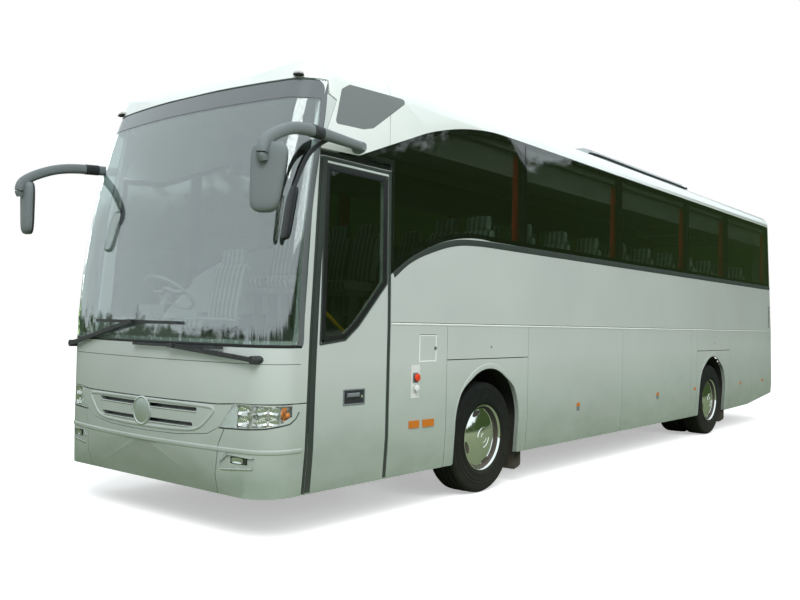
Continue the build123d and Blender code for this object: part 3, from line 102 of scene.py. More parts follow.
def on_nose(s, z, out):
    """The body's skin from the centre line round to the flank: s is the length walked along the plan
    outline (positive to the left), first on the wide arc, then on the corner arc, then straight aft.
    out is the distance off the skin along its plan normal."""
    s, z, out = np.broadcast_arrays(*[np.asarray(v, float) for v in (s, z, out)])
    angle0 = corner_start(z)
    on_crown = CROWN_R * angle0
    on_corner = CORNER_R * (np.pi / 2 - angle0)
    a = np.abs(s)
    angle = np.where(a < on_crown, a / CROWN_R, np.minimum(angle0 + (a - on_crown) / CORNER_R, np.pi / 2))
    centre_x = np.where(a < on_crown, 0, (CROWN_R - CORNER_R) * np.sin(angle0))
    centre_y = nose_y(z) + CROWN_R - np.where(a < on_crown, 0, (CROWN_R - CORNER_R) * np.cos(angle0))
    radius = np.where(a < on_crown, CROWN_R, CORNER_R) + out
    x = np.sign(s) * (centre_x + radius * np.sin(angle))
    y = centre_y - radius * np.cos(angle) + np.clip(a - on_crown - on_corner, 0, None)
    return np.stack([x, y, z], -1)


def walk_to_aft(aft, z):
    """The s of a place on the flank, from how far behind the front axle it lies."""
    angle0 = corner_start(z)
    corner_end = nose_y(z) + CROWN_R - (CROWN_R - CORNER_R) * np.cos(angle0)
    return CROWN_R * angle0 + CORNER_R * (np.pi / 2 - angle0) + AXLE_Y + aft - corner_end


def walk_to_x(x, z):
    """The s of a place on the nose, from its distance to the centre line, up to the corner's end."""
    angle0 = corner_start(z)
    x_corner = (CROWN_R - CORNER_R) * np.sin(angle0)
    on_crown = CROWN_R * np.arcsin(np.minimum(x, CROWN_R * np.sin(angle0)) / CROWN_R)
    turned = np.arcsin(np.clip((x - x_corner) / CORNER_R, -1, 1)) - angle0
    return on_crown + CORNER_R * np.clip(turned, 0, None)


def flank(aft, z, side, out):
    """A point of the flank, out metres off its skin."""
    aft, z, out = np.broadcast_arrays(*[np.asarray(v, float) for v in (aft, z, out)])
    return np.stack([side * (half_width(z) + out), AXLE_Y + aft, z], -1)


def on_side(side):
    """Places on one flank, by how far they lie behind the front axle."""
    return lambda aft, z, out: flank(aft, z, side, out)


print("front axle at y", round(AXLE_Y, 4), "tyre radius", round(TYRE_R, 4))

# %% [markdown]
# ## From numbers to a mesh
# A surface is a grid of points, worked out as one array. Neighbouring points make its faces. Rings that
# shrink to one point close an end, and merging doubles then leaves a neat fan there.

# %% Mesh helpers
def grid(points, close_columns=False):
    """A surface from an array of rows x columns x 3: each cell joins four neighbours."""
    rows, columns = points.shape[:2]
    i = np.arange(rows - 1)[:, None]
    j = np.arange(columns if close_columns else columns - 1)[None, :]
    j2 = (j + 1) % columns
    cell = np.broadcast_arrays(i * columns + j, i * columns + j2, (i + 1) * columns + j2, (i + 1) * columns + j)
    return points.reshape(-1, 3), np.stack(cell, -1).reshape(-1, 4)


def join(*surfaces):
    """Several surfaces as one: the faces of each are counted on from the points before it."""
    starts = np.cumsum([0] + [len(points) for points, _ in surfaces[:-1]])
    return (np.concatenate([points for points, _ in surfaces]),
            np.concatenate([faces + start for (_, faces), start in zip(surfaces, starts)]))


def tube(rings):
    """A closed tube from rings x points x 3, with each end drawn to the middle of its last ring."""
    first = np.broadcast_to(rings[:1].mean(1, keepdims=True), rings[:1].shape)
    last = np.broadcast_to(rings[-1:].mean(1, keepdims=True), rings[-1:].shape)
    return grid(np.concatenate([first, rings, last]), close_columns=True)


def level(across, z):
    """A line at one height, as pairs with a first number from across."""
    return np.column_stack([across, np.full(len(across), z)])


def box(low, high):
    """A closed box between two corners."""
    low, high = np.asarray(low, float), np.asarray(high, float)
    flat = low[:2] + np.array([(0, 0), (1, 0), (1, 1), (0, 1)]) * (high[:2] - low[:2])
    return tube(np.stack([level(flat, z) for z in (low[2], high[2])]))


def smooth_path(points, count):
    """A Catmull-Rom curve through a few points, read at count even steps."""
    p = np.asarray(points, float)
    padded = np.vstack([2 * p[0] - p[1], p, 2 * p[-1] - p[-2]])
    t = np.linspace(0, len(p) - 1, count)
    k = np.minimum(t.astype(int), len(p) - 2)
    u = (t - k)[:, None]
    a, b, c, d = (padded[k + n] for n in range(4))
    return 0.5 * (2 * b + (c - a) * u + (2 * a - 5 * b + 4 * c - d) * u ** 2 + (3 * b - a - 3 * c + d) * u ** 3)


def superellipse(around, power):
    """Points of a unit superellipse: cosine and sine, each raised to 2 / power with its sign kept."""
    turn = np.linspace(0, 2 * np.pi, around, endpoint=False)
    return np.stack([np.sign(w) * np.abs(w) ** (2 / power) for w in (np.cos(turn), np.sin(turn))], -1)


def swept(path, wide, high, power=2.0, around=24, up=(0, 0, 1)):
    """A superellipse carried along a path; wide and high are its half sizes, one pair for each point."""
    path = np.asarray(path, float)
    along = np.gradient(path, axis=0)
    along /= np.linalg.norm(along, axis=1, keepdims=True)
    side = np.cross(along, up)
    side /= np.linalg.norm(side, axis=1, keepdims=True)
    top = np.cross(side, along)
    wide, high = (np.broadcast_to(v, len(path))[:, None, None] for v in (wide, high))
    unit = superellipse(around, power)
    return tube(path[:, None] + side[:, None] * unit[None, :, :1] * wide + top[:, None] * unit[None, :, 1:] * high)


def revolved(profile, centre, around=96, axis_x=1):
    """A profile of (x, radius) pairs turned about a line along X through a centre."""
    profile = np.asarray(profile, float)
    turn = np.linspace(0, 2 * np.pi, around, endpoint=False)
    x = centre[0] + axis_x * np.broadcast_to(profile[:, :1], (len(profile), around))
    y = centre[1] + profile[:, 1:] * np.cos(turn)
    z = centre[2] + profile[:, 1:] * np.sin(turn)
    return grid(np.stack([x, y, z], -1), close_columns=True)


def piece(name, surface, finish, body="coach", closed=True, slot=None):
    """A finished piece: merged, smooth but for its sharp edges, with its finish, riding on a body."""
    points, faces = surface
    mesh = bpy.data.meshes.new(name)
    mesh.from_pydata(points.tolist(), [], faces.tolist())
    work = bmesh.new()
    work.from_mesh(mesh)
    bmesh.ops.remove_doubles(work, verts=work.verts, dist=1e-5)
    bmesh.ops.dissolve_degenerate(work, dist=1e-6, edges=work.edges)
    if closed:
        bmesh.ops.recalc_face_normals(work, faces=work.faces)
    work.to_mesh(mesh)
    work.free()
    mesh.shade_smooth()
    mesh.set_sharp_from_angle(angle=math.radians(35))
    mesh.materials.append(finish)
    thing = bpy.data.objects.new(name, mesh)
    bpy.context.scene.collection.objects.link(thing)
    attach(thing, body)
    return thing


def soften(thing, width, segments):
    """Rounds a piece's edges."""
    bevel = thing.modifiers.new("soft_edges", "BEVEL")
    bevel.width, bevel.segments = width, segments


# %% [markdown]
# ## Camera
# The camera stands at the coach's left front corner, about as high as a person's eyes.

# %% Camera
EYE = Vector((5.52166, AXLE_Y - 6.62462, 1.55683))
YAW, PITCH, ROLL = (math.radians(a) for a in (38.78376, -1.44531, 1.34756))
SENSOR = 36.0
FOCAL_OVER_WIDTH = 849.1644 / 800


def camera_axes(yaw, pitch, roll):
    """Right, up and forward: forward points along -sin(yaw), cos(yaw), dipped by the pitch, then all roll."""
    forward = Vector((-math.sin(yaw) * math.cos(pitch), math.cos(yaw) * math.cos(pitch), -math.sin(pitch)))
    right = forward.cross(Vector((0, 0, 1))).normalized()
    up = right.cross(forward)
    turned_right = math.cos(roll) * right + math.sin(roll) * up
    turned_up = math.cos(roll) * up - math.sin(roll) * right
    return turned_right, turned_up, forward


right, up, forward = camera_axes(YAW, PITCH, ROLL)
camera_data = bpy.data.cameras.new("camera")
camera_data.sensor_width = SENSOR
camera_data.lens = SENSOR * FOCAL_OVER_WIDTH
camera_data.clip_end = 400
camera = bpy.data.objects.new("camera", camera_data)
turn = Matrix((right, up, -forward)).transposed()
camera.matrix_world = Matrix.Translation(EYE) @ turn.to_4x4()
bpy.context.scene.collection.objects.link(camera)
bpy.context.scene.camera = camera
print("lens", round(camera_data.lens, 2), "mm")


# %% [markdown]
# ## Helpers for shading
# These keep the node trees short. A value that is another node's socket is wired in, and a plain value is set
# on the input itself.

# %% Node helpers
def put(tree, socket, value):
    """Wires a socket into an input, or sets a plain value on it. Colours are three numbers."""
    if hasattr(value, "is_linked"):
        tree.links.new(value, socket)
    else:
        socket.default_value = (*value, 1) if socket.type == "RGBA" else value


def feed(tree, receiver, **values):
    """Gives a node its inputs; a name that isn't an input is one of the node's own settings."""
    for key, value in values.items():
        label = key.replace("_", " ")
        if label in receiver.inputs:
            put(tree, receiver.inputs[label], value)
        else:
            setattr(receiver, key, value)
    return receiver


def node(tree, kind, **values):
    """A new node with its inputs and settings."""
    return feed(tree, tree.nodes.new(kind), **values)


def math_node(tree, operation, *values, clamp=False):
    """A Math node; its values are numbers or sockets."""
    n = node(tree, "ShaderNodeMath", operation=operation, use_clamp=clamp)
    for socket, value in zip(n.inputs, values):
        put(tree, socket, value)
    return n.outputs[0]


def times(tree, a, b):
    return math_node(tree, "MULTIPLY", a, b)


def plus(tree, a, b, clamp=False):
    return math_node(tree, "ADD", a, b, clamp=clamp)


def ramp(tree, value, low, high):
    """0 below low, 1 above high and even between."""
    return node(tree, "ShaderNodeMapRange", Value=value, From_Min=low, From_Max=high).outputs[0]


def mix_colours(tree, share, a, b):
    """A colour between a and b; share, a and b are sockets or plain values."""
    n = node(tree, "ShaderNodeMix", data_type="RGBA")
    for place, value in ((0, share), (6, a), (7, b)):
        put(tree, n.inputs[place], value)
    return n.outputs[2]


def combine(tree, kind, *sockets):
    """A node that joins shaders, such as a mix (share first) or a sum."""
    n = node(tree, kind)
    for place, socket in enumerate(sockets):
        tree.links.new(socket, n.inputs[place])
    return n.outputs[0]


def empty_tree(owner, output):
    """The owner's node tree with nothing but its output."""
    owner.use_nodes = True
    owner.node_tree.nodes.clear()
    return owner.node_tree, node(owner.node_tree, output)


def to_linear(red, green, blue):
    """A colour given as it looks on a screen, from 0 to 255, as the linear light that shaders use."""
    return tuple(((c / 255 + 0.055) / 1.055) ** 2.4 if c > 10 else c / 255 / 12.92 for c in (red, green, blue))


# %% [markdown]
# ## Floor, world and lamps
# The floor looks pale but bounces a greenish light up onto the sides, as grass does. What the paint and the
# glass mirror is a bright sky over a ragged dark line of trees, lower in front of the coach than behind it.

# %% Studio
FLOOR_HALF = 150
FLOOR_BOUNCE, FLOOR_SEEN, FLOOR_GLOW = (0.19, 0.235, 0.14), (0.90, 0.91, 0.90), 0.42
TREES, SKY = (0.035, 0.060, 0.020), (0.82, 0.92, 0.95)
TREE_RAGGED = 0.22
TREE_BEHIND = 0.25
TREE_TOP = (0.125, 0.150)
WHITE, DAYLIGHT = (1, 1, 1), (0.94, 0.98, 1.0)

floor_mesh = bpy.data.meshes.new("floor")
floor_mesh.from_pydata([(x * FLOOR_HALF, y * FLOOR_HALF, 0) for x, y in ((-1, -1), (1, -1), (1, 1), (-1, 1))],
                       [], [(0, 1, 2, 3)])
floor = bpy.data.objects.new("floor", floor_mesh)
bpy.context.scene.collection.objects.link(floor)
floor_mesh.materials.append(bpy.data.materials.new("studio_floor"))
tree, out = empty_tree(floor_mesh.materials[0], "ShaderNodeOutputMaterial")
seen = node(tree, "ShaderNodeLightPath").outputs["Is Camera Ray"]
plain = node(tree, "ShaderNodeBsdfDiffuse", Color=mix_colours(tree, seen, FLOOR_BOUNCE, FLOOR_SEEN))
glow = node(tree, "ShaderNodeEmission", Color=WHITE, Strength=times(tree, seen, FLOOR_GLOW))
put(tree, out.inputs[0], combine(tree, "ShaderNodeAddShader", plain.outputs[0], glow.outputs[0]))

world = bpy.data.worlds.new("studio_world")
bpy.context.scene.world = world
tree, out = empty_tree(world, "ShaderNodeOutputWorld")
rays = node(tree, "ShaderNodeLightPath").outputs
around = node(tree, "ShaderNodeTexCoord").outputs["Generated"]
height = node(tree, "ShaderNodeSeparateXYZ", Vector=around).outputs
crowns = node(tree, "ShaderNodeTexNoise", Vector=around, Scale=16.0, Detail=7.0, Roughness=0.7).outputs[0]
ragged = plus(tree, height[2], times(tree, crowns, TREE_RAGGED))
behind = math_node(tree, "POWER", plus(tree, height[1], 0.2, clamp=True), 3.0)
clear_sky = ramp(tree, math_node(tree, "SUBTRACT", ragged, times(tree, behind, TREE_BEHIND)), *TREE_TOP)
lit, mirrored, shown = (
    node(tree, "ShaderNodeBackground", Color=colour, Strength=strength).outputs[0]
    for colour, strength in ((DAYLIGHT, 0.78), (mix_colours(tree, clear_sky, TREES, SKY), 1.25), (WHITE, 1.0)))
unseen = combine(tree, "ShaderNodeMixShader", rays["Is Glossy Ray"], lit, mirrored)
put(tree, out.inputs[0], combine(tree, "ShaderNodeMixShader", rays["Is Camera Ray"], unseen, shown))


def soft_lamp(name, place, target, size, power):
    """A square area lamp that looks at a point."""
    data = bpy.data.lights.new(name, "AREA")
    data.size = size
    data.energy = power
    lamp = bpy.data.objects.new(name, data)
    lamp.location = place
    lamp.rotation_mode = "QUATERNION"
    lamp.rotation_quaternion = (Vector(target) - Vector(place)).to_track_quat("-Z", "Y")
    lamp.visible_glossy = False
    bpy.context.scene.collection.objects.link(lamp)


soft_lamp("key_lamp", (9, -15, 14), (0, -2, 1.5), 9, 2500)
soft_lamp("side_lamp", (16, 2, 9), (0, 1, 1.5), 9, 1000)
bpy.context.scene.view_settings.view_transform = "Standard"

# %% [markdown]
# ## Finishes that several materials share
# Dust, grain, flake and weave are node groups; on the paint the dust mask is also a painted shade low down.
# Each one reads the coach's own coordinates in metres and hands back a mask, a colour or a normal; the shader
# itself stays in the material.

# %% Shared groups
FULL_TURN = 6.283


def new_group(name, outputs, inputs=()):
    """An empty node group. Inputs are pairs of name and starting value; an output named Normal is a vector."""
    group = bpy.data.node_groups.new(name, "ShaderNodeTree")
    for label, value in inputs:
        group.interface.new_socket(label, in_out="INPUT", socket_type="NodeSocketFloat").default_value = value
    for label in outputs:
        kind = "NodeSocketVector" if label == "Normal" else "NodeSocketFloat"
        group.interface.new_socket(label, in_out="OUTPUT", socket_type=kind)
    return group, group.nodes.new("NodeGroupInput").outputs, group.nodes.new("NodeGroupOutput")


def metres(tree):
    """The coach's own coordinates, in metres."""
    return node(tree, "ShaderNodeTexCoord").outputs["Object"]


def metres_apart(tree):
    """The same as three sockets, for x, y and z."""
    return node(tree, "ShaderNodeSeparateXYZ", Vector=metres(tree)).outputs


def noise(tree, scale, detail=3.0, roughness=0.5, stretch=(1, 1, 1)):
    """Noise in the coach's own metres; stretch makes it finer along an axis."""
    sized = node(tree, "ShaderNodeMapping", Vector=metres(tree), Scale=stretch).outputs[0]
    return node(tree, "ShaderNodeTexNoise", Vector=sized, Scale=scale, Detail=detail, Roughness=roughness).outputs[0]


def bump(tree, height, strength, distance, **normal):
    """A normal from a height in 0 to 1; distance is its real depth in metres."""
    return node(tree, "ShaderNodeBump", Height=height, Strength=strength, Distance=distance, **normal).outputs[0]


def dust_and_low_shade_group():
    """Road dust, also painted shade on paint: thin everywhere, thicker near the ground and in patches; a 0 to 1 mask.
    """
    group, inside, outside = new_group("road_dust_and_low_shade", ["Mask"], [("Top", 0.9)])
    height = math_node(group, "DIVIDE", metres_apart(group)[2], inside["Top"])
    low = math_node(group, "SUBTRACT", 1.0, height, clamp=True)
    patches = ramp(group, noise(group, 2.2, 5.0, 0.6, (1, 1, 2)), 0.35, 0.75)
    feed(group, outside, Mask=times(group, low, plus(group, times(group, patches, 0.3), 0.7)))
    return group


def edge_group():
    """Rubbed edges: where the surface turns sharply its pointiness is high, broken up by noise."""
    group, _, outside = new_group("rubbed_edges", ["Mask"])
    sharp = ramp(group, node(group, "ShaderNodeNewGeometry").outputs["Pointiness"], 0.53, 0.60)
    feed(group, outside, Mask=times(group, sharp, ramp(group, noise(group, 40, 4.0), 0.4, 0.65)))
    return group


def grain_group():
    """Moulded grain: small closed cells as on textured plastic, as a normal and a roughness mask."""
    group, inside, outside = new_group("moulded_grain", ["Normal", "Mask"], [("Cells per metre", 900.0)])
    cells = node(group, "ShaderNodeTexVoronoi", Vector=metres(group), Scale=inside[0]).outputs["Distance"]
    feed(group, outside, Normal=bump(group, cells, 0.35, 0.0006), Mask=ramp(group, noise(group, 14, 5.0), 0.3, 0.7))
    return group


def flake_group():
    """Metallic flake and orange peel: tiny cells that each tilt the normal a little, over a slow ripple."""
    group, _, outside = new_group("metallic_flake", ["Normal", "Mask"])
    peel = bump(group, noise(group, 55, 2.0), 0.12, 0.0004)
    feed(group, outside, Normal=bump(group, noise(group, 1400, 1.0), 0.05, 0.0001, Normal=peel),
         Mask=ramp(group, noise(group, 1.1, 3.0), 0.3, 0.7))
    return group


def weave_group():
    """A woven cloth with upright stripes: warp and weft threads as bump, and a stripe mask across X."""
    group, inside, outside = new_group("striped_weave", ["Normal", "Stripe", "Thread"], [("Stripe width", 0.06)])
    place = metres_apart(group)
    warp, weft = (math_node(group, "SINE", times(group, place[k], 2400.0)) for k in (0, 2))
    thread = ramp(group, times(group, warp, weft), -1.0, 1.0)
    wave = math_node(group, "SINE", times(group, math_node(group, "DIVIDE", place[0], inside[0]), FULL_TURN))
    feed(group, outside, Normal=bump(group, thread, 0.4, 0.0008), Stripe=ramp(group, wave, -0.25, 0.25),
         Thread=thread)
    return group


GROUPS = {"dust": dust_and_low_shade_group(), "edges": edge_group(), "grain": grain_group(), "flake": flake_group(),
          "weave": weave_group()}

# %% [markdown]
# ## The finishes
# Each finish says what it is made of: its colour, how rough, how metallic, and which of the shared effects lie
# on it. Paint has flake under a clear coat. Rubber and plastic have grain. Steel and chrome are true metals.

# %% Finishes
# The paint's low film is dark green: partly road dust, partly painted shade for the darker, greener look low down.
ROAD_FILM_AND_SHADE, DRY_DUST, GRIME = to_linear(92, 117, 84), to_linear(128, 122, 108), (0.05, 0.045, 0.04)
PAINT_FILM_AND_SHADE_TOP = 1.25


def use_group(tree, name, **inputs):
    """One of the shared groups placed in a material; gives its outputs."""
    n = tree.nodes.new("ShaderNodeGroup")
    n.node_tree = GROUPS[name]
    return feed(tree, n, **inputs).outputs


def shader(name, colour, rough, metal=0.0, **inputs):
    """A new material with its Principled shader; inputs are more of the shader's own values."""
    finish = bpy.data.materials.new(name)
    finish.use_nodes = True
    finish.diffuse_color = (*colour, 1)
    tree = finish.node_tree
    return finish, tree, feed(tree, tree.nodes["Principled BSDF"], Base_Color=colour, Roughness=rough,
                              Metallic=metal, **inputs)


def paint(name, colour, shade, metal, rough=0.3, dust=0.9):
    """Coach paint: two close tones in slow patches, flake, a clear coat, and low down a dark greenish film that is
    road dust and painted shade. Panels high up are painted with neither."""
    finish, tree, skin = shader(name, colour, rough, metal, Coat_Weight=0.6, Coat_Roughness=0.06,
                                Specular_IOR_Level=0.4)
    flake = use_group(tree, "flake")
    body = mix_colours(tree, flake["Mask"], colour, shade)
    feed(tree, skin, Base_Color=body, Normal=flake["Normal"])
    if dust:
        film_and_shade = use_group(tree, "dust", Top=PAINT_FILM_AND_SHADE_TOP)["Mask"]
        feed(tree, skin, Base_Color=mix_colours(tree, times(tree, film_and_shade, dust), body, ROAD_FILM_AND_SHADE),
             Roughness=plus(tree, times(tree, film_and_shade, 0.25), rough, clamp=True))
    return finish


def moulded(name, colour, rough, cells, wear, dust, specular=0.4):
    """Moulded plastic or rubber: fine cells, paler where its edges are rubbed, dusty near the ground."""
    finish, tree, skin = shader(name, colour, rough, Specular_IOR_Level=specular)
    grain = use_group(tree, "grain", Cells_per_metre=cells)
    feed(tree, skin, Roughness=plus(tree, times(tree, grain["Mask"], 0.15), rough, clamp=True),
         Normal=grain["Normal"])
    rubbed = tuple(min(1, 0.08 + 1.6 * c) for c in colour)
    for group, share, over in (("edges", wear, rubbed), ("dust", dust, DRY_DUST)):
        if share:
            colour = mix_colours(tree, times(tree, use_group(tree, group)["Mask"], share), colour, over)
            feed(tree, skin, Base_Color=colour)
    return finish


def metal(name, colour, rough, grime):
    """Bare metal: smudged roughness, and grime that gathers in patches."""
    finish, tree, skin = shader(name, colour, rough, 1.0)
    smudge = ramp(tree, noise(tree, 18, 5.0, 0.6), 0.35, 0.75)
    feed(tree, skin, Base_Color=mix_colours(tree, times(tree, smudge, grime), colour, GRIME),
         Roughness=plus(tree, times(tree, smudge, 0.10), rough, clamp=True),
         Normal=bump(tree, noise(tree, 160), 0.08, 0.0003))
    return finish


def glazing(name, colour, streaks=0.05, rough=0.01, coat=0.0, ior=1.45):
    """Tinted glass: clear to shadows so that light gets in, with faint wiped streaks in its gloss. A large
    thin pane has a low index, so that what lies behind it isn't shifted, and gets its gloss from the coat."""
    finish, tree, skin = shader(name, colour, rough, Transmission_Weight=1.0, IOR=ior, Specular_IOR_Level=0.5,
                                Coat_Weight=1.0 if coat else 0.0, Coat_IOR=coat or 1.5, Coat_Roughness=0.0)
    smear = ramp(tree, noise(tree, 3.0, 6.0, 0.65, (1, 1, 5)), 0.45, 0.8)
    feed(tree, skin, Roughness=plus(tree, times(tree, smear, streaks), rough))
    clear = node(tree, "ShaderNodeBsdfTransparent", Color=tuple(c ** 0.5 for c in colour)).outputs[0]
    shadow = node(tree, "ShaderNodeLightPath").outputs["Is Shadow Ray"]
    put(tree, tree.nodes["Material Output"].inputs[0],
        combine(tree, "ShaderNodeMixShader", shadow, skin.outputs[0], clear))
    return finish


def lens(name, colour, rough=0.08, flutes=260.0):
    """A moulded lamp lens: coloured clear plastic with fine upright flutes on its inner face."""
    finish, tree, skin = shader(name, colour, rough, Transmission_Weight=0.35, IOR=1.5, Coat_Weight=0.5)
    place = metres_apart(tree)
    wave = math_node(tree, "SINE", times(tree, plus(tree, place[0], place[1]), flutes * FULL_TURN))
    height = ramp(tree, wave, -1, 1)
    feed(tree, skin, Base_Color=mix_colours(tree, height, tuple(c * 0.72 for c in colour), colour),
         Normal=bump(tree, height, 0.5, 0.001))
    return finish


def cloth(name, base, stripe, width=0.06, fuzz=0.4):
    """Woven seat cloth: two-tone stripes of threads with a soft sheen."""
    finish, tree, skin = shader(name, base, 0.85, Sheen_Weight=fuzz, Sheen_Roughness=0.5, Specular_IOR_Level=0.2)
    weave = use_group(tree, "weave", Stripe_width=width)
    striped = mix_colours(tree, weave["Stripe"], base, stripe)
    feed(tree, skin, Base_Color=mix_colours(tree, times(tree, weave["Thread"], 0.35), striped,
                                            tuple(c * 0.3 for c in base)), Normal=weave["Normal"])
    return finish


FINISH = {
    "body_paint": paint("silver_paint", to_linear(200, 208, 206), to_linear(195, 201, 201), 0.2),
    "roof_paint": paint("pale_roof_paint", to_linear(224, 230, 228), to_linear(216, 223, 221), 0.1, dust=0.0),
    "glass": glazing("tinted_side_glass", (0.27, 0.31, 0.27), 0.006, 0.003, 1.8, 1.05),
    "screen_glass": glazing("windscreen_glass", (0.50, 0.56, 0.54), 0.008, 0.003, 2.4, 1.05),
    "black_trim": moulded("black_trim_plastic", (0.022, 0.024, 0.026), 0.42, 900, 0.25, 0.3),
    "lamp_glass": glazing("clear_lamp_glass", (0.92, 0.94, 0.94)),
    "lamp_red": lens("red_lens", (0.55, 0.012, 0.01)),
    "lamp_amber": lens("amber_lens", (0.95, 0.27, 0.01)),
    "frame_steel": metal("painted_frame_steel", (0.11, 0.11, 0.11), 0.5, 0.6),
    "cast_parts": metal("cast_iron", (0.2, 0.19, 0.18), 0.55, 0.6),
    "tyre": moulded("tyre_rubber", (0.006, 0.007, 0.006), 0.70, 420, 0.2, 0.08, 0.3),
    "wheel": metal("chromed_steel", (0.90, 0.90, 0.88), 0.03, 0.05),
    "floor": moulded("floor_vinyl", (0.09, 0.095, 0.10), 0.6, 300, 0.1, 0.0),
    "interior": moulded("cabin_plastic", (0.20, 0.205, 0.20), 0.6, 700, 0.1, 0.0),
    "hold_lining": moulded("hold_lining_felt", (0.12, 0.12, 0.12), 0.9, 500, 0.1, 0.1),
    "seat_fabric": cloth("seat_cloth", to_linear(88, 100, 98), to_linear(150, 160, 152)),
    "curtain": cloth("curtain_cloth", to_linear(206, 52, 28), to_linear(176, 30, 20), 0.012, 0.6),
    "liner": moulded("arch_liner_plastic", (0.018, 0.018, 0.018), 0.8, 300, 0.2, 0.6),
}
RUBBER = moulded("seal_rubber", to_linear(46, 54, 50), 0.62, 600, 0.1, 0.1)
GREY_PLASTIC = moulded("textured_grey_plastic", to_linear(108, 116, 118), 0.5, 420, 0.2, 0.0)
GLOSS_BLACK = moulded("screen_ceramic_border", (0.012, 0.013, 0.014), 0.12, 1500, 0.0, 0.0)
GREY_BORDER = paint("grey_ceramic_border", to_linear(96, 101, 104), to_linear(92, 97, 100), 0.0, 0.25, 0.0)
# The cooler is painted greyer than the roof: a painted shade for its undercut sides, which the light reaches less.
COOLER_SHADED_PAINT = paint("cooler_paint_painted_shade", to_linear(178, 186, 190), to_linear(172, 180, 184), 0.0, dust=0.0)
GLOSS_GREY = paint("quarter_panel_gloss", to_linear(104, 110, 110), to_linear(98, 104, 104), 0.0, 0.2, 0.0)
CHROME = metal("lamp_reflector_chrome", (0.86, 0.86, 0.84), 0.06, 0.05)
DULL_CHROME = metal("dulled_chrome", (0.66, 0.70, 0.68), 0.34, 0.05)
BRIGHT = metal("bright_strip", (0.72, 0.74, 0.72), 0.22, 0.1)
BULB = lens("lamp_bulb", (0.9, 0.9, 0.86), 0.1, 120.0)
YELLOW = moulded("yellow_grab_rail", to_linear(225, 178, 20), 0.4, 1200, 0.1, 0.0)
KNOB_RED = moulded("knob_plastic", to_linear(214, 60, 22), 0.4, 1200, 0.1, 0.0)
# A white strip: a painted highlight on the waist rail and round the filler flap.
WHITE_HIGHLIGHT_STRIP = moulded("white_painted_highlight", to_linear(246, 249, 248), 0.35, 1500, 0.0, 0.0)
PALE_PLASTIC = moulded("pale_trim_plastic", to_linear(206, 210, 208), 0.45, 900, 0.05, 0.0)
GRILLE_DARK = moulded("grille_recess", (0.05, 0.053, 0.052), 0.5, 700, 0.1, 0.0)
PLATE = moulded("blank_plate", to_linear(226, 224, 210), 0.35, 1500, 0.05, 0.1)

# %% [markdown]
# ## Finishing the solids
# Every solid takes the finish of its material slot, apart from a few that look different on the coach. Its
# fine facets are welded and shaded smooth, and its real edges stay sharp.

# %% Finish the carried-over solids
# The cooler's greyer paint is a painted shade.
OWN_FINISH = {"quarter_panels": GLOSS_GREY, "ac_unit": COOLER_SHADED_PAINT, "window_frames": GLOSS_BLACK,
              "front_frame": FINISH["body_paint"], "grille": FINISH["body_paint"]}
MOST_FACES = 40000
slot_of = {p["node"]: p["material_slot"] for p in frame["record"]["subparts"]}
for name, thing in nodes.items():
    thing.data.materials.clear()
    thing.data.materials.append(OWN_FINISH.get(name, FINISH[slot_of[name]]))
    if len(thing.data.polygons) < MOST_FACES:
        thing.data.polygons.foreach_set("use_smooth", np.ones(len(thing.data.polygons), bool))
        thing.modifiers.new("weld", "WELD").merge_threshold = 0.00005
        thing.modifiers.new("sharp_edges", "EDGE_SPLIT").split_angle = math.radians(24)
print("finished solids:", len(nodes))

# %% [markdown]
# ## Strips on the skin
# Seals, borders and bands are long thin strips that follow the body. On the real coach they are extruded
# rubber or rolled metal, bent to the panel. Here a strip's section is carried along a line drawn on the skin,
# so that it bends with the body by itself.

# %% Strips and patches on the skin
SECTION = np.array([(-1, -1), (-1, 0.35), (-0.85, 0.8), (-0.5, 1), (0, 1), (0.5, 1), (0.85, 0.8), (1, 0.35), (1, -1)])


def strip(place, line, half, out, sunk=0.002, steps=0):
    """A strip with a softly rounded face along a line of (u, z) points on the skin. half is half its width
    and may differ from point to point; out is how far it stands proud and sunk how far it reaches in."""
    line = np.asarray(line, float)
    if steps:
        line = smooth_path(level(line, 0), steps)[:, :2]
    along = np.gradient(line, axis=0)
    along /= np.linalg.norm(along, axis=1, keepdims=True) + 1e-12
    half = np.broadcast_to(half, len(line))[:, None]
    u = line[:, :1] - along[:, 1:] * SECTION[:, 0] * half
    z = line[:, 1:] + along[:, :1] * SECTION[:, 0] * half
    return tube(place(u, z, np.where(SECTION[:, 1] < 0, -sunk, SECTION[:, 1] * out) + 0 * u))


def dense(line, step=0.04):
    """The same broken line with points every few centimetres, so that a strip can bend with the skin."""
    line = np.asarray(line, float)
    at = np.concatenate([[0], np.cumsum(np.linalg.norm(np.diff(line, axis=0), axis=1))])
    even = np.unique(np.concatenate([np.arange(0, at[-1], step), at]))
    return np.column_stack([np.interp(even, at, line[:, k]) for k in (0, 1)])


def rectangle(u0, z0, u1, z1):
    """A rectangle as a closed line."""
    return dense([(u0, z0), (u1, z0), (u1, z1), (u0, z1), (u0, z0)])


def patch(place, u, low, high, outer, inner, rows=10):
    """A slab on the skin: between the heights low and high at each u, from the depth inner out to outer."""
    u, low, high = (np.asarray(v, float)[:, None] for v in np.broadcast_arrays(u, low, high))
    z = low + np.linspace(0, 1, rows) * (high - low)
    front, back = (place(u + 0 * z, z, np.full(z.shape, depth)) for depth in (outer, inner))
    return tube(np.concatenate([front, back[:, ::-1]], axis=1))


# %% [markdown]
# ## Windscreen border, door seals and door handle
# The windscreen is glued in, so a baked border hides the glue all round, and it is deep at the top. The door
# has a wide soft rubber seal at its front edge and a narrow one behind. Its handle is sunk in a dark plate.

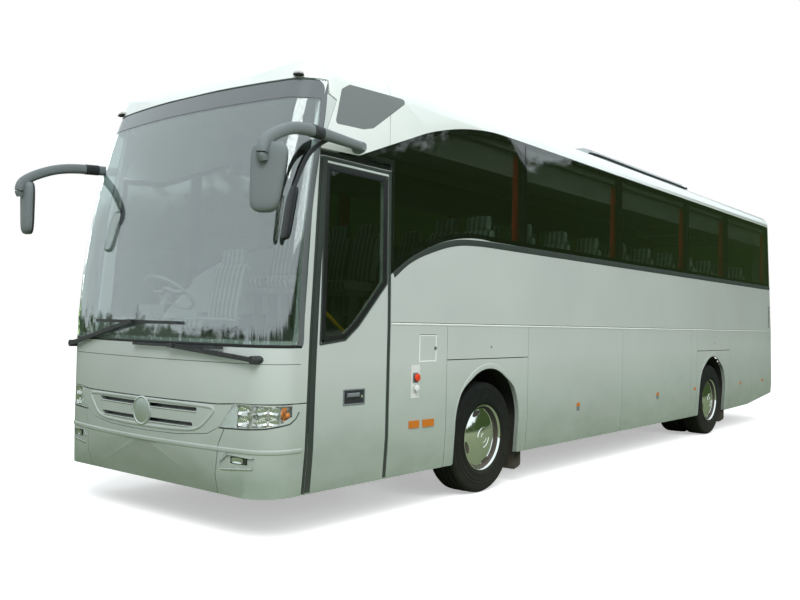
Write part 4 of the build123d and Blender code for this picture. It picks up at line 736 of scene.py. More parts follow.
# %% Screen border, seals and handle
SCREEN_SIDE = ((-2.421, 1.362), (-2.405, 1.500), (-2.331, 2.407), (-2.230, 2.976), (-2.190, 3.290))
SCREEN_FOOT_Z, BORDER_Z, SCREEN_TOP_Z = 1.364, 3.150, 3.292
CORNER_BEND = 0.100
DOOR_EDGE = np.array([(-2.367, 0.335), (-2.343, 1.500), (-2.282, 2.417), (-2.262, 2.735)])
DOOR_GLASS = np.array([(-2.240, 1.378), (-1.975, 1.410), (-1.832, 1.515), (-1.500, 1.850), (-1.500, 2.690),
                       (-2.205, 2.690), (-2.240, 1.378)])
BORDER_INSET = [(0.026, 0.024), (-0.004, 0.024), (-0.010, 0.022), (-0.024, 0.010), (-0.024, -0.024),
                (0.026, -0.024), (0.026, 0.024)]
HANDLE_FRONT, HANDLE_LOW, HANDLE_BACK, HANDLE_HIGH = HANDLE = (-1.978, 0.930, -1.747, 1.039)
left = on_side(1)

foot_s, top_s = walk_to_aft(*SCREEN_SIDE[0]), walk_to_aft(-2.190, 3.285)
foot, rim = (np.linspace(-s, s, 121) for s in (foot_s, top_s))
piece("screen_border_foot", strip(on_nose, level(foot, SCREEN_FOOT_Z), 0.011, 0.0015), GLOSS_BLACK)
piece("screen_border_top", patch(on_nose, rim, BORDER_Z, SCREEN_TOP_Z, 0.0014, -0.002, 14), GREY_BORDER)
piece("screen_edge_top", strip(on_nose, level(rim, SCREEN_TOP_Z), 0.006, 0.003), RUBBER)
bend = np.linspace(0, 1, 24)
corner_low = SCREEN_TOP_Z + 0.002 - CORNER_BEND * (1 - np.sqrt(1 - bend ** 2))
for side_name, side in SIDES.items():
    edge = [(side * (walk_to_aft(aft, z) - 0.022), z) for aft, z in SCREEN_SIDE]
    piece("screen_border_" + side_name, strip(on_nose, edge, 0.026, 0.0015, steps=60), GREY_BORDER)
    corner = patch(on_nose, side * (top_s - CORNER_BEND * (1 - bend)), corner_low, SCREEN_TOP_Z + 0.005, 0.0028,
                   -0.002)
    piece("screen_corner_" + side_name, corner, FINISH["roof_paint"])

for name, line, half, out, sunk, steps, finish, body in (
        ("door_seal_front", DOOR_EDGE + (0.050, 0), 0.027, 0.006, 0.002, 50, RUBBER, "front_door"),
        ("pillar_seal", DOOR_EDGE + (0.010, 0), 0.010, 0.003, 0.02, 50, RUBBER, "coach"),
        ("door_seal_rear", dense([(-1.472, 0.335), (-1.472, 2.735)]), 0.016, 0.005, 0.002, 0, RUBBER, "front_door"),
        ("door_seal_top", dense([(-2.235, 2.728), (-1.460, 2.728)]), 0.014, 0.005, 0.002, 0, RUBBER, "front_door"),
        ("door_glass_border", dense(DOOR_GLASS + BORDER_INSET), 0.024, 0.0012, 0.002, 0, GLOSS_BLACK, "front_door"),
        ("door_glass_seal", dense(DOOR_GLASS), 0.007, 0.004, 0.002, 0, RUBBER, "front_door"),
        ("door_handle_frame", rectangle(*HANDLE), 0.006, 0.006, 0.002, 0, GREY_PLASTIC, "front_door")):
    piece(name, strip(left, line, half, out, sunk, steps), finish, body)
piece("door_handle_plate", patch(left, np.linspace(HANDLE_FRONT, HANDLE_BACK, 12), HANDLE_LOW, HANDLE_HIGH, 0.002,
                                 -0.003), FINISH["black_trim"], "front_door")
grip = flank(np.linspace(HANDLE_FRONT + 0.03, HANDLE_BACK - 0.07, 16), 1.000, 1, 0.010)
piece("door_handle_grip", swept(grip, 0.007, 0.016, 3), GREY_PLASTIC, "front_door")
lock = [(0.0, 0.0), (0.006, 0.0), (0.006, 0.011), (0.002, 0.013), (0, 0.013)]
piece("door_lock", revolved(lock, flank(HANDLE_BACK - 0.032, 0.985, 1, 0.002), 32), CHROME, "front_door")

# %% [markdown]
# ## Dark band, waist rail and arch lips
# A dark band closes the glass against the flank and sweeps down over the front wheel to the door. The waist
# rail, a bright metal strip, is white as a painted highlight, with a black line over it as painted shade in its
# groove. A lip stiffens each wheel arch, widest at the top.

# %% Bands and lips
BAND = np.array([(-1.4155, 1.947, 1.900), (-1.215, 2.065, 2.026), (-0.95, 2.18, 2.128), (-0.59, 2.275, 2.219),
                 (-0.198, 2.306, 2.251), (0.501, 2.313, 2.253)])     # aft, top and foot
BAND_Z, BAND_HALF = 2.283, 0.030
CAB_SILL = [(-2.300, 1.381), (-1.961, 1.421), (-1.832, 1.522), (-1.490, 1.856)]
TAIL_SEAM = 9.06
TAIL_LEAN = math.tan(math.radians(4.7))
LIP_HALF = 0.024
BODY_FOOT_Z = 0.330


def lip_half(rise):
    """Half a lip's width where the arch has risen by this share of its radius: a quarter below its middle."""
    return LIP_HALF * np.clip((rise - 0.50) / 0.30, 0.25, 1)


curve = smooth_path(np.column_stack([BAND[:, 0], (BAND[:, 1] + BAND[:, 2]) / 2, (BAND[:, 1] - BAND[:, 2]) / 2]), 60)
band_end = TAIL_SEAM - (BAND_Z - WAIST_Z) * TAIL_LEAN - 0.02
band = np.vstack([curve, level(dense([(0.60, BAND_Z), (band_end, BAND_Z)], 0.25), BAND_HALF)])
cab = smooth_path(level(CAB_SILL, 0.022), 30)
# The waist rail is white as a painted highlight, and the black line over it is painted shade.
for side_name, side in SIDES.items():
    line = band if side > 0 else np.vstack([cab, band])
    piece("belt_band_" + side_name, strip(on_side(side), line[:, :2], line[:, 2], 0.0025), RUBBER)
    for name, z, half, out, finish in (("waist_rail", 1.5405, 0.0040, 0.0030, WHITE_HIGHLIGHT_STRIP),
                                       ("waist_joint", 1.5475, 0.0028, 0.0012, GLOSS_BLACK)):
        rail = dense([(-1.440, z), (TAIL_SEAM - 0.01, z)], 0.3)
        piece(name + "_" + side_name, strip(on_side(side), rail, half, out), finish)
    for place, aft, radius, top in (("front", 0.0, 0.547, 1.190), ("rear", REAR_AXLE, 0.580, 1.196)):
        turn = np.linspace(0, np.pi, 60)
        r = radius + 0.002 - lip_half(np.sin(turn))
        arc = np.column_stack([aft - r * np.cos(turn), top - radius + r * np.sin(turn)])
        feet = [(aft + way * (radius - 0.004), BODY_FOOT_Z) for way in (-1, 1)]
        arc = np.vstack([dense([feet[0], arc[0]]), arc[1:-1], dense([arc[-1], feet[1]])])
        half = lip_half((arc[:, 1] - (top - radius)) / radius)
        piece(f"arch_lip_{place}_{side_name}", strip(on_side(side), arc, half, 0.0035, 0.012), FINISH["body_paint"])

# %% [markdown]
# ## Mudflaps
# A thick rubber sheet with rounded lower corners hangs behind each wheel.

# %% Mudflaps
FLAP_HALF = 0.005
FLAP_CORNER = 0.07
for side_name, side in SIDES.items():
    for place, aft, x0, x1, top in (("front", 0.635, 0.93, 1.235, 0.80),
                                    ("rear", REAR_AXLE + 0.62, 0.62, 1.235, 0.70)):
        z = np.linspace(0.130, top, 24)
        inward = FLAP_CORNER * np.clip((0.200 - z) / FLAP_CORNER, 0, 1) ** 2
        y = AXLE_Y + aft + 0.02 * (top - z)
        ring = [np.stack([side * x, y + face, z], -1) for x, face in (
            (x0 + inward, -FLAP_HALF), (x1 - inward, -FLAP_HALF), (x1 - inward, FLAP_HALF), (x0 + inward, FLAP_HALF))]
        piece(f"mudflap_{place}_{side_name}", tube(np.stack(ring, 1)), FINISH["liner"])

# %% [markdown]
# ## Small things on the flanks
# The filler flap and the emergency valve with its two knobs sit behind the door, only on the left. Amber lamps
# stand along both flanks. Those on the luggage doors ride on the doors, each with its lock below it.

# %% Flank details
FLAP = (-1.065, 1.232, -0.839, 1.445)
FIXED_LAMPS = ((-1.126, 0.722, 0.130, 0.060), (-0.933, 0.720, 0.150, 0.060), (5.320, 0.709, 0.050, 0.036),
               (7.374, 0.709, 0.050, 0.036), (8.554, 0.709, 0.050, 0.036))       # aft, z, length and height
HATCH_LAMPS = {"front": (1.775, 0.706, 0.060, 0.036), "rear": (3.983, 0.706, 0.060, 0.036)}
VENT_BLADES, VENT_LOW, VENT_HIGH = 8, 1.592, 1.970


def tab(side, aft, length, low, high, outer, inner=-0.002, columns=5, **more):
    """A small flat patch on a flank, given by its middle and its length."""
    return patch(on_side(side), np.linspace(aft - length / 2, aft + length / 2, columns), low, high, outer, inner,
                 **more)


def flank_lamp(side, aft, z, length, height):
    return tab(side, aft, length, z - height / 2, z + height / 2, 0.009)


# The filler flap's joint is a white line, a painted highlight, and the black line along its top is painted shade.
piece("fuel_flap_joint_highlight", strip(left, rectangle(*FLAP), 0.0035, 0.0012), WHITE_HIGHLIGHT_STRIP)
piece("fuel_flap_top_shade", strip(left, dense([(FLAP[0], 1.451), (FLAP[2], 1.451)]), 0.0028, 0.0016), GLOSS_BLACK)
piece("fuel_flap_tab", tab(1, -0.850, 0.030, 1.325, 1.352, 0.004, -0.001, 4), GREY_BORDER)
piece("valve_plate", tab(1, -1.115, 0.114, 0.935, 1.203, 0.0018, columns=6), PALE_PLASTIC)
piece("valve_bracket", tab(1, -1.116, 0.068, 1.060, 1.142, 0.006, columns=6), GREY_PLASTIC)
for label, z, radius, finish in (("red", 1.103, 0.032, KNOB_RED), ("pale", 1.012, 0.028, PALE_PLASTIC)):
    knob = [(0, 0), (0.004, radius * 0.5), (0.018, radius * 0.55), (0.022, radius), (0.032, radius * 0.96),
            (0.036, radius * 0.6), (0.037, 0)]
    piece("valve_knob_" + label, revolved(knob, flank(-1.115, z, 1, -0.003), 40), finish)

lamps = join(*[flank_lamp(side, *lamp) for side in SIDES.values() for lamp in FIXED_LAMPS])
fixed_lamps = piece("marker_lamps_fixed", lamps, FINISH["lamp_amber"], slot="lamp_amber")
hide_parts("marker_lamps")
flap_lock = [(0, 0), (0.002, 0.011), (0.004, 0.010), (0.004, 0)]
for side_name, side in SIDES.items():
    for i, (end, lamp) in enumerate(HATCH_LAMPS.items()):
        hatch = f"luggage_hatch_{end}_{side_name}"
        piece(f"marker_lamp_{end}_{side_name}", flank_lamp(side, *lamp), FINISH["lamp_amber"], hatch,
              slot="lamp_amber")
        piece(f"hatch_lock_{i}_{side_name}", tab(side, lamp[0], 0.060, 0.640, 0.684, 0.004), GREY_PLASTIC, hatch)
        lock_place = flank((0.022, REAR_AXLE + 0.045)[i], 1.341, side, 0)
        piece(f"flap_lock_{i}_{side_name}", revolved(flap_lock, lock_place, 24, side), GREY_PLASTIC,
              f"arch_cover_{end}_{side_name}")
    for i in range(VENT_BLADES):
        z = VENT_LOW + (i + 0.5) * (VENT_HIGH - VENT_LOW) / VENT_BLADES
        piece(f"vent_blade_{i}_{side_name}", tab(side, 8.9235, 0.087, z - 0.012, z + 0.004, -0.006, -0.016, rows=4),
              GLOSS_BLACK)

# %% [markdown]
# ## Wheels
# The wheel carries a pressed and chromed cover: a dome in a rolled edge, with a groove between them, four
# oval hand holes and a small centre disc; the groove and the holes are dark plastic, as painted shade. The tyre
# has grooves in its tread and rings on its wall, as its mould leaves them. All of these are turned profiles.

# %% Wheels and tyres
DOME_TOP, DOME_DEEP, DOME_R = 0.148, 0.046, 0.262
RIM = [(-0.12, 0.276), (-0.12, 0.290), (0.12, 0.290), (0.12, 0.276), (-0.12, 0.276)]
GROOVE_SHADE = [(0.1236, 0.2828), (0.1147, 0.2782), (0.1068, 0.2733), (0.1020, 0.2678), (0.1024, 0.2635)]
RING_ROWS = (0.334, 0.352, 0.392, 0.424, 0.446)


def dome_x(r):
    """How far out the dome stands at a radius."""
    return DOME_TOP - DOME_DEEP * (r / DOME_R) ** 2


COVER = [(-0.120, 0.276), (-0.120, 0.290), (0.118, 0.291), (0.129, 0.296), (0.134, 0.303), (0.138, 0.302),
         (0.139, 0.296), (0.132, 0.288), (0.124, 0.284), (0.114, 0.279), (0.106, 0.274), (0.101, 0.268),
         *[(dome_x(r), r) for r in np.linspace(DOME_R, 0.096, 16)],
         (0.1375, 0.092), (0.1375, 0.088), (0.1430, 0.084), (0.1460, 0.060), (0.1468, 0.046), (0.1445, 0.043),
         (0.1445, 0.040), (0.1478, 0.037), (0.1495, 0.020), (0.1500, 0.0), (0.085, 0.0), (0.085, 0.270),
         (-0.120, 0.276)]


def hand_hole(centre, side, turn, radius=0.236, long=0.058, wide=0.022):
    """An oval hole in the cover, dark as painted shade: a shallow dish lying on the cover's slope, its edge turned in.
    """
    ring = np.linspace(0, 2 * np.pi, 40, endpoint=False)
    depth = np.array([(1.0, 0.0018), (0.93, 0.0026), (0.86, 0.0016), (0.82, 0.0007), (0.0, 0.0007)])
    t = turn + depth[:, :1] * long * np.cos(ring) / radius
    r = radius + depth[:, :1] * wide * np.sin(ring)
    x = dome_x(r) + depth[:, 1:]
    points = np.stack([centre[0] + side * x, centre[1] + r * np.cos(t), centre[2] + r * np.sin(t)], -1)
    return grid(points, close_columns=True)


def tyre_profile():
    """Half a section of the tyre, (x, radius): bead, wall with rings, shoulder and tread with grooves."""
    wall = [(0.120, 0.296), (0.132, 0.306), (0.138, 0.318)]
    for r in RING_ROWS:
        foot, crest = (0.1465, 0.1462) if r < 0.43 else (0.1450, 0.1445)
        wall += [(foot, r - 0.004), (crest, r - 0.002), (crest, r + 0.002), (0.1420, r + 0.004)]
    shoulder = [(0.1430, 0.462), (0.1350, 0.482), (0.1290, 0.494), (0.1120, 0.5045)]
    tread = [(x + dx, r) for x in (0.082, 0.030)
             for dx, r in ((0.007, 0.5060), (0.005, 0.4930), (-0.005, 0.4930), (-0.007, 0.5070))]
    return wall + shoulder + tread + [(0.0, TYRE_R)]


def tyre_surface(centre):
    """The whole tyre: the half section and its mirror, turned about the axle."""
    half = tyre_profile()
    section = half + [(-x, r) for x, r in reversed(half[:-1])]
    return revolved(section + [(-0.120, 0.290), (0.120, 0.290), half[0]], centre, 144)


# The hand holes and the groove are dark plastic: painted shade.
for end, aft, tyres, plural in (("front", 0, (1.078,), ""), ("rear", REAR_AXLE, (1.088, 0.753), "s")):
    for side_name, side in SIDES.items():
        name = f"{end}_{side_name}"
        body = f"{name}_wheel{plural}"
        centres = [(side * x, AXLE_Y + aft, TYRE_R) for x in tyres]
        rubber = piece("tyre_tread_" + name, join(*[tyre_surface(c) for c in centres]), FINISH["tyre"], body,
                       slot="tyre")
        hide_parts(f"tyre{plural}_{name}")
        metal_parts = [revolved(COVER, centres[0], 96, side)] + [revolved(RIM, c, 96, side) for c in centres[1:]]
        cover = piece("wheel_cover_" + name, join(*metal_parts), FINISH["wheel"], body, slot="wheel")
        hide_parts(f"wheel{plural}_{name}")
        dark = [hand_hole(centres[0], side, math.radians(a)) for a in (20, 110, 200, 290)]
        dark.append(revolved(GROOVE_SHADE, centres[0], 96, side))
        piece("wheel_hole_shade_" + name, join(*dark), FINISH["liner"], body, closed=False)
print("wheels done")

# %% [markdown]
# ## Mirrors
# Each big mirror hangs from a bent arm on the front pillar. Arm and shell are moulded in textured plastic:
# the arm is a flattened tube with a joint near its foot, and the shell is a rounded box with a rim round its
# glass. The left side also has a slim mirror that looks down at the kerb.

# %% Mirrors
ARM = np.array([(1.300, -1.900, 2.862), (1.400, -2.440, 2.850), (1.450, -2.700, 2.825), (1.490, -2.880, 2.765),
                (1.513, -3.020, 2.680), (1.520, -3.055, 2.600), (1.520, -3.045, 2.545)])
HEAD = (1.520, -2.985, 2.450)
HEAD_HALF = (0.130, 0.045, 0.225)
HEAD_TAPER = 0.28
KERB_ARM = np.array([(1.370, -2.300, 2.840), (1.325, -2.370, 2.780), (1.306, -2.440, 2.700),
                     (1.300, -2.500, 2.590), (1.300, -2.560, 2.460)])
KERB_HEAD = ((1.300, -2.555, 2.475), (1.300, -2.635, 2.090))


def turned(side, yaw, x, y, z):
    """Places in the mirror's own frame, narrower towards the foot, turned by the yaw and put at its centre."""
    a = math.radians(side * yaw)
    fall = (1 - z / HEAD_HALF[2]) / 2
    x = x * (1 - HEAD_TAPER * fall) - side * HEAD_HALF[0] * HEAD_TAPER * fall
    return np.stack([side * HEAD[0] + x * math.cos(a) - y * math.sin(a),
                     AXLE_Y + HEAD[1] + x * math.sin(a) + y * math.cos(a), HEAD[2] + z], -1)


def shell_of_mirror(side, yaw):
    """The shell: level superellipse sections that shrink towards the top and the foot, turned by the yaw."""
    t = np.sin(np.linspace(-np.pi / 2, np.pi / 2, 40))[:, None]
    size = (1 - np.abs(t) ** 7) ** (1 / 3.0)
    across, deep = superellipse(48, 3.2).T
    x = across * HEAD_HALF[0] * (0.90 + 0.10 * size) * np.clip(size, 0.02, 1)
    y = deep * HEAD_HALF[1] * np.where(deep < 0, 1.0, 0.55) * np.clip(size, 0.02, 1)
    return tube(turned(side, yaw, x, y, t * HEAD_HALF[2] + 0 * x))


def mirror_glass(side, yaw):
    """The glass: a thin rounded disc in the shell's back face."""
    disc = np.stack([superellipse(64, 4.0) * s for s in (0.0, 0.5, 1.0, 1.0, 0.0)])
    y = 0.0262 + np.array([0, 0, 0, -0.004, -0.004])[:, None]
    x, z = disc[..., 0] * HEAD_HALF[0] * 0.86, disc[..., 1] * HEAD_HALF[2] * 0.90
    return grid(turned(side, yaw, x, y + 0 * x, z), close_columns=True)


def mirror_rim(side, yaw):
    """The rim: a closed line round the glass."""
    turn = np.linspace(0, 2 * np.pi, 97)
    x, z = (np.sign(w) * np.abs(w) ** 0.5 * half * share for w, half, share in (
        (np.cos(turn), HEAD_HALF[0], 0.93), (np.sin(turn), HEAD_HALF[2], 0.95)))
    return swept(turned(side, yaw, x, np.full(97, 0.020), z), 0.010, 0.007, 2.4, 12, up=(0.02, 1, 0.03))


for side_name, side, yaw in (("left", 1, 26), ("right", -1, 12)):
    line = smooth_path((ARM + (0, AXLE_Y, 0)) * (side, 1, 1), 60)
    thick = np.interp(np.linspace(0, 1, 60), [0, 0.15, 0.8, 1], [0.030, 0.036, 0.036, 0.026])
    foot = np.array([(side * x, AXLE_Y - 1.872, 2.862) for x in (1.246, 1.262, 1.300, 1.322)])
    piece("mirror_arm_" + side_name, swept(line, thick, thick * 1.15, 2.6, 32), GREY_PLASTIC, slot="black_trim")
    piece("mirror_joint_" + side_name, swept(line[9:13], 0.0395, 0.0445, 2.6, 32), FINISH["black_trim"])
    piece("mirror_foot_" + side_name, swept(foot, [0.062, 0.060, 0.045, 0.030], [0.050, 0.048, 0.040, 0.028], 3.0),
          GREY_PLASTIC)
    shell = piece("mirror_shell_" + side_name, shell_of_mirror(side, yaw), GREY_PLASTIC, slot="black_trim")
    if side > 0:
        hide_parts("mirrors")
    piece("mirror_glass_" + side_name, mirror_glass(side, yaw), CHROME)
    piece("mirror_rim_" + side_name, mirror_rim(side, yaw), FINISH["black_trim"])
thick = np.linspace(0.019, 0.013, 30)
kerb_line = smooth_path(KERB_ARM + (0, AXLE_Y, 0), 30)
piece("kerb_mirror_arm", swept(kerb_line, thick, thick, 2, 16), FINISH["black_trim"])
size = (1 - np.abs(np.linspace(-1, 1, 30)) ** 8) ** 0.33
hang = np.linspace(*KERB_HEAD, 30) + (0, AXLE_Y, 0)
piece("kerb_mirror_shell", swept(hang, 0.022 * size, 0.040 * size, 3, 32, up=(1, 0, 0)), GLOSS_BLACK)

# %% [markdown]
# ## Headlamps and fog lamps
# A headlamp is a clear cover over a bright housing: a painted cheek on the inner side, four reflector bowls in
# a box of two by two, and the turn signal with its amber bulb at the corner. Each bowl is a shallow dish whose
# depth falls with the square of the distance from its middle.

# %% Lamps
def dish(place, s, z, wide, high, depth, lip):
    """A bowl set into the skin: out = lip at its edge and deeper by depth in the middle, as 1 - r squared."""
    r = np.linspace(0, 1, 12)[:, None]
    turn = np.linspace(0, 2 * np.pi, 40, endpoint=False)
    across, rise = (np.sign(w) * np.abs(w) ** 0.6 for w in (np.cos(turn), np.sin(turn)))
    return grid(place(s + r * across * wide, z + r * rise * high, lip - depth * (1 - r ** 2) + 0 * turn),
                close_columns=True)


def ball(place, s, z, out, radius, stretch=1.0):
    """A small bulb: an ellipsoid at a depth under the skin."""
    up = np.linspace(-np.pi / 2, np.pi / 2, 12)[:, None]
    turn = np.linspace(0, 2 * np.pi, 20, endpoint=False)
    shape = np.stack([np.cos(up) * np.cos(turn), np.cos(up) * np.sin(turn), np.sin(up) * stretch + 0 * turn], -1)
    return grid(place(*np.array((s, z, out))) + radius * shape, close_columns=True)


LAMP_Z, FOG_Z = 0.88, 0.57
LAMP_END = walk_to_aft(-2.430, LAMP_Z)
FOG_LOW, FOG_HIGH = 0.5505, 0.5985

lamp_s = np.concatenate([walk_to_x(np.array([0.835, 1.050, 1.190]), LAMP_Z), LAMP_END - [0.085, 0.030, 0.0]])
fine = np.linspace(lamp_s[0], LAMP_END, 60)
low = np.interp(fine, lamp_s, [0.792, 0.797, 0.807, 0.836, 0.872, 0.915])
high = np.interp(fine, [lamp_s[0], walk_to_x(0.955, LAMP_Z), LAMP_END], [0.803, 0.958, 0.958])
cheek_s, signal_s = walk_to_x(0.985, LAMP_Z), LAMP_END - 0.165
inner = fine <= cheek_s
cell_wide, cell_high = (signal_s - cheek_s) / 4, 0.036
cells = [(cheek_s + cell_wide * (2 * i + 1), 0.842 + k * 0.076) for i in range(2) for k in range(2)]
fog = np.linspace(*walk_to_x(np.array([0.937, 1.079]), FOG_Z), 12)
pocket_s = walk_to_x(np.array([0.855, 0.905, 1.120]), FOG_Z)
pocket = np.linspace(pocket_s[0], pocket_s[-1], 24)
pocket_low, pocket_high = (np.interp(pocket, pocket_s, z) for z in ((0.510, 0.512, 0.530), (0.560, 0.607, 0.594)))
for side_name, side in SIDES.items():
    def place(s, z, out, side=side):
        return on_nose(side * s, z, out)

    def front(name, surface, finish, **more):
        return piece(f"{name}_{side_name}", surface, finish, **more)

    lens_piece = front("headlamp_lens", patch(place, fine, low, high, -0.001, -0.0045, 12), FINISH["lamp_glass"],
                       slot="lamp_glass")
    if side > 0:
        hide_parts("headlamps")
    front("headlamp_housing", patch(place, fine, low, high, -0.046, -0.049, 12), PALE_PLASTIC)
    edge = [*zip(fine, low), *zip(fine[::-1], high[::-1]), (fine[0], low[0])]
    front("headlamp_wall", strip(place, edge, 0.0025, -0.004, 0.048), PALE_PLASTIC)
    front("headlamp_seal", strip(place, np.column_stack([fine, low - 0.006]), 0.005, 0.0012), RUBBER)
    front("headlamp_cheek", patch(place, fine[inner], low[inner] + 0.004, high[inner] - 0.004, -0.008, -0.011),
          FINISH["body_paint"])
    bowls = [dish(place, s, z, cell_wide * 0.96, cell_high, 0.030, -0.012) for s, z in cells]
    bowls.append(dish(place, signal_s + 0.075, 0.895, 0.062, 0.052, 0.028, -0.012))
    front("headlamp_bowls", join(*bowls), CHROME, closed=False)
    front("headlamp_bulbs", join(*[ball(place, s, z, -0.028, 0.011) for s, z in cells]), BULB)
    front("signal_bulb", ball(place, signal_s + 0.075, 0.890, -0.024, 0.016, 1.3), FINISH["lamp_amber"])
    bars = [patch(place, np.linspace(s - 0.003, s + 0.003, 3), 0.812, 0.952, -0.010, -0.030)
            for s in (cheek_s, cheek_s + 2 * cell_wide, signal_s)]
    bars.append(patch(place, np.linspace(cheek_s, signal_s, 16), 0.877, 0.883, -0.011, -0.030, 3))
    front("headlamp_bars", join(*bars), BRIGHT)
    front("fog_lamp_back", patch(place, fog, FOG_LOW, FOG_HIGH, -0.0065, -0.0095), GLOSS_BLACK)
    front("fog_lamp_bowl", dish(place, (fog[0] + fog[-1]) / 2 - 0.012, (FOG_LOW + FOG_HIGH) / 2, 0.050, 0.020, 0.003,
                                -0.0035), CHROME, closed=False)
    front("fog_lamp_lens", patch(place, fog, FOG_LOW, FOG_HIGH, -0.0005, -0.003), FINISH["lamp_glass"])
    front("fog_pocket_lip", strip(place, np.column_stack([pocket, pocket_low - 0.007]), 0.008, 0.003), BRIGHT)
    front("fog_pocket_brow", strip(place, np.column_stack([pocket, pocket_high + 0.004]), 0.005, 0.003),
          FINISH["body_paint"])

# %% [markdown]
# ## Grille and bumper
# Two slots let air in under the flap. A raised bead runs round them in the shape of a boat, and a plain round
# boss sits in the middle, where the bar between the slots widens.

# %% Grille
BOAT = [(0.0, 0.738), (0.35, 0.742), (0.60, 0.762), (0.72, 0.842), (0.765, 0.915), (0.60, 0.930), (0.0, 0.936)]
BOSS_Z = 0.842
BOSS = [(0.0, 0.012), (0.030, 0.0118), (0.070, 0.0105), (0.092, 0.008), (0.096, 0.011), (0.104, 0.0115),
        (0.110, 0.008), (0.112, -0.002)]        # radius and how far it stands proud

boat = [(walk_to_x(x, z), z, 0) for x, z in BOAT]
boat += [(-s, z, 0) for s, z, _ in boat[-2::-1]]
piece("grille_bead", strip(on_nose, smooth_path(boat, 160)[:, :2], 0.011, 0.007), FINISH["body_paint"])
# The bright strip under each slot is a painted highlight on its lower edge.
for name, z, reach in (("upper", 0.897, 0.610), ("lower", 0.787, 0.570)):
    s = np.linspace(-reach, reach, 61)
    piece("grille_back_" + name, patch(on_nose, s, z - 0.018, z + 0.018, -0.054, -0.060, 3), GRILLE_DARK)
    piece("grille_highlight_lip_" + name, strip(on_nose, level(s, z - 0.019), 0.005, 0.004), BRIGHT)
turn = np.linspace(0, 2 * np.pi, 64, endpoint=False)
boss = np.stack([on_nose(r * np.cos(turn), BOSS_Z + r * np.sin(turn), out) for r, out in BOSS])
piece("grille_boss", grid(boss, close_columns=True), DULL_CHROME, closed=False)
crease_end = walk_to_aft(-2.40, 0.63)
crease = level(np.linspace(-crease_end, crease_end, 141), 0.640)
piece("bumper_crease", strip(on_nose, crease, 0.016, 0.005), FINISH["body_paint"])

# %% [markdown]
# ## Roof
# The cooling unit stands on a dark gasket and draws air through slatted openings. Two hatches and the small
# clear lamps at the corners finish the roof.

# %% Roof details
COOLER_FRONT, COOLER_BACK = AXLE_Y + 2.647, AXLE_Y + 5.562
LAMP_X = np.linspace(1.062, 1.150, 12)
half_loop = [(0.9, COOLER_FRONT - 0.006), (0.995, COOLER_FRONT + 0.05), (0.995, (COOLER_FRONT + COOLER_BACK) / 2),
             (0.995, COOLER_BACK - 0.05), (0.9, COOLER_BACK + 0.006)]
loop = [*half_loop, (0, COOLER_BACK + 0.006), *[(-x, y) for x, y in half_loop[::-1]], (0, COOLER_FRONT - 0.006),
        half_loop[0]]
piece("cooler_gasket", swept(smooth_path(level(loop, 3.598), 200), 0.012, 0.016, 3, 12), GLOSS_BLACK)
slats = [box((x - 0.30, COOLER_FRONT + 0.50 + k * 0.075, 3.6935), (x + 0.30, COOLER_FRONT + 0.535 + k * 0.075, 3.7010))
         for x in (0.48, -0.48) for k in range(26)]
piece("cooler_slats", join(*slats), FINISH["black_trim"])
for i, aft in enumerate((0.6, 7.2)):
    hatch = box((-0.36, AXLE_Y + aft, 3.575), (0.36, AXLE_Y + aft + 0.72, 3.632))
    soften(piece(f"roof_hatch_{i}", hatch, FINISH["roof_paint"]), 0.022, 4)
dome = np.sqrt(np.clip(1 - np.linspace(-1, 1, 12) ** 4, 0.02, 1))
for side_name, side in SIDES.items():
    lamp = np.stack([side * LAMP_X, AXLE_Y - 2.360 - 0.010 * (LAMP_X - 1.07), 3.338 - 0.10 * (LAMP_X - 1.07)], -1)
    piece("roof_lamp_" + side_name, swept(lamp, 0.024 * dome, 0.016 * dome, 2.6, 20), BULB)
    piece("roof_lamp_base_" + side_name, swept(lamp - [0, 0, 0.012], 0.030 * dome, 0.010 * dome, 3, 20),
          FINISH["black_trim"])

# %% [markdown]
# ## Tail
# The tail leans forward above its foot and is slightly crowned. Each lamp is split into its signals by dark
# bars, with the amber one above the clear reversing lamp. The plate stays blank.

# %% Tail details
TAIL_Y = NOSE_Y + 12.140
TAIL_FOOT_Z = 0.6
TAIL_CROWN_R = 20.0
SIGNALS = {"stop": (1.205, 1.405, FINISH["lamp_red"]), "turn": (1.075, 1.190, FINISH["lamp_amber"]),
           "reverse": (0.960, 1.060, BULB), "fog": (0.835, 0.945, FINISH["lamp_red"])}
WINDOW = [(-0.98, 2.33), (0.98, 2.33), (0.98, 3.16), (-0.98, 3.16), (-0.98, 2.33)]


def on_tail(x, z, out):
    """A place on the tail: upright at its foot, then leaning forward, with a wide crown in plan."""
    crown = TAIL_CROWN_R - np.sqrt(TAIL_CROWN_R ** 2 - x ** 2)
    y = TAIL_Y - TAIL_LEAN * np.clip(z - TAIL_FOOT_Z, 0, None) - crown + out
    return np.stack(np.broadcast_arrays(x, y, z), -1)


def on_lid(name, half, low, high, outer, inner, finish, columns=12, rows=5):
    """A flat thing on the engine cover, centred."""
    piece(name, patch(on_tail, np.linspace(-half, half, columns), low, high, outer, inner, rows), finish,
          "engine_cover")


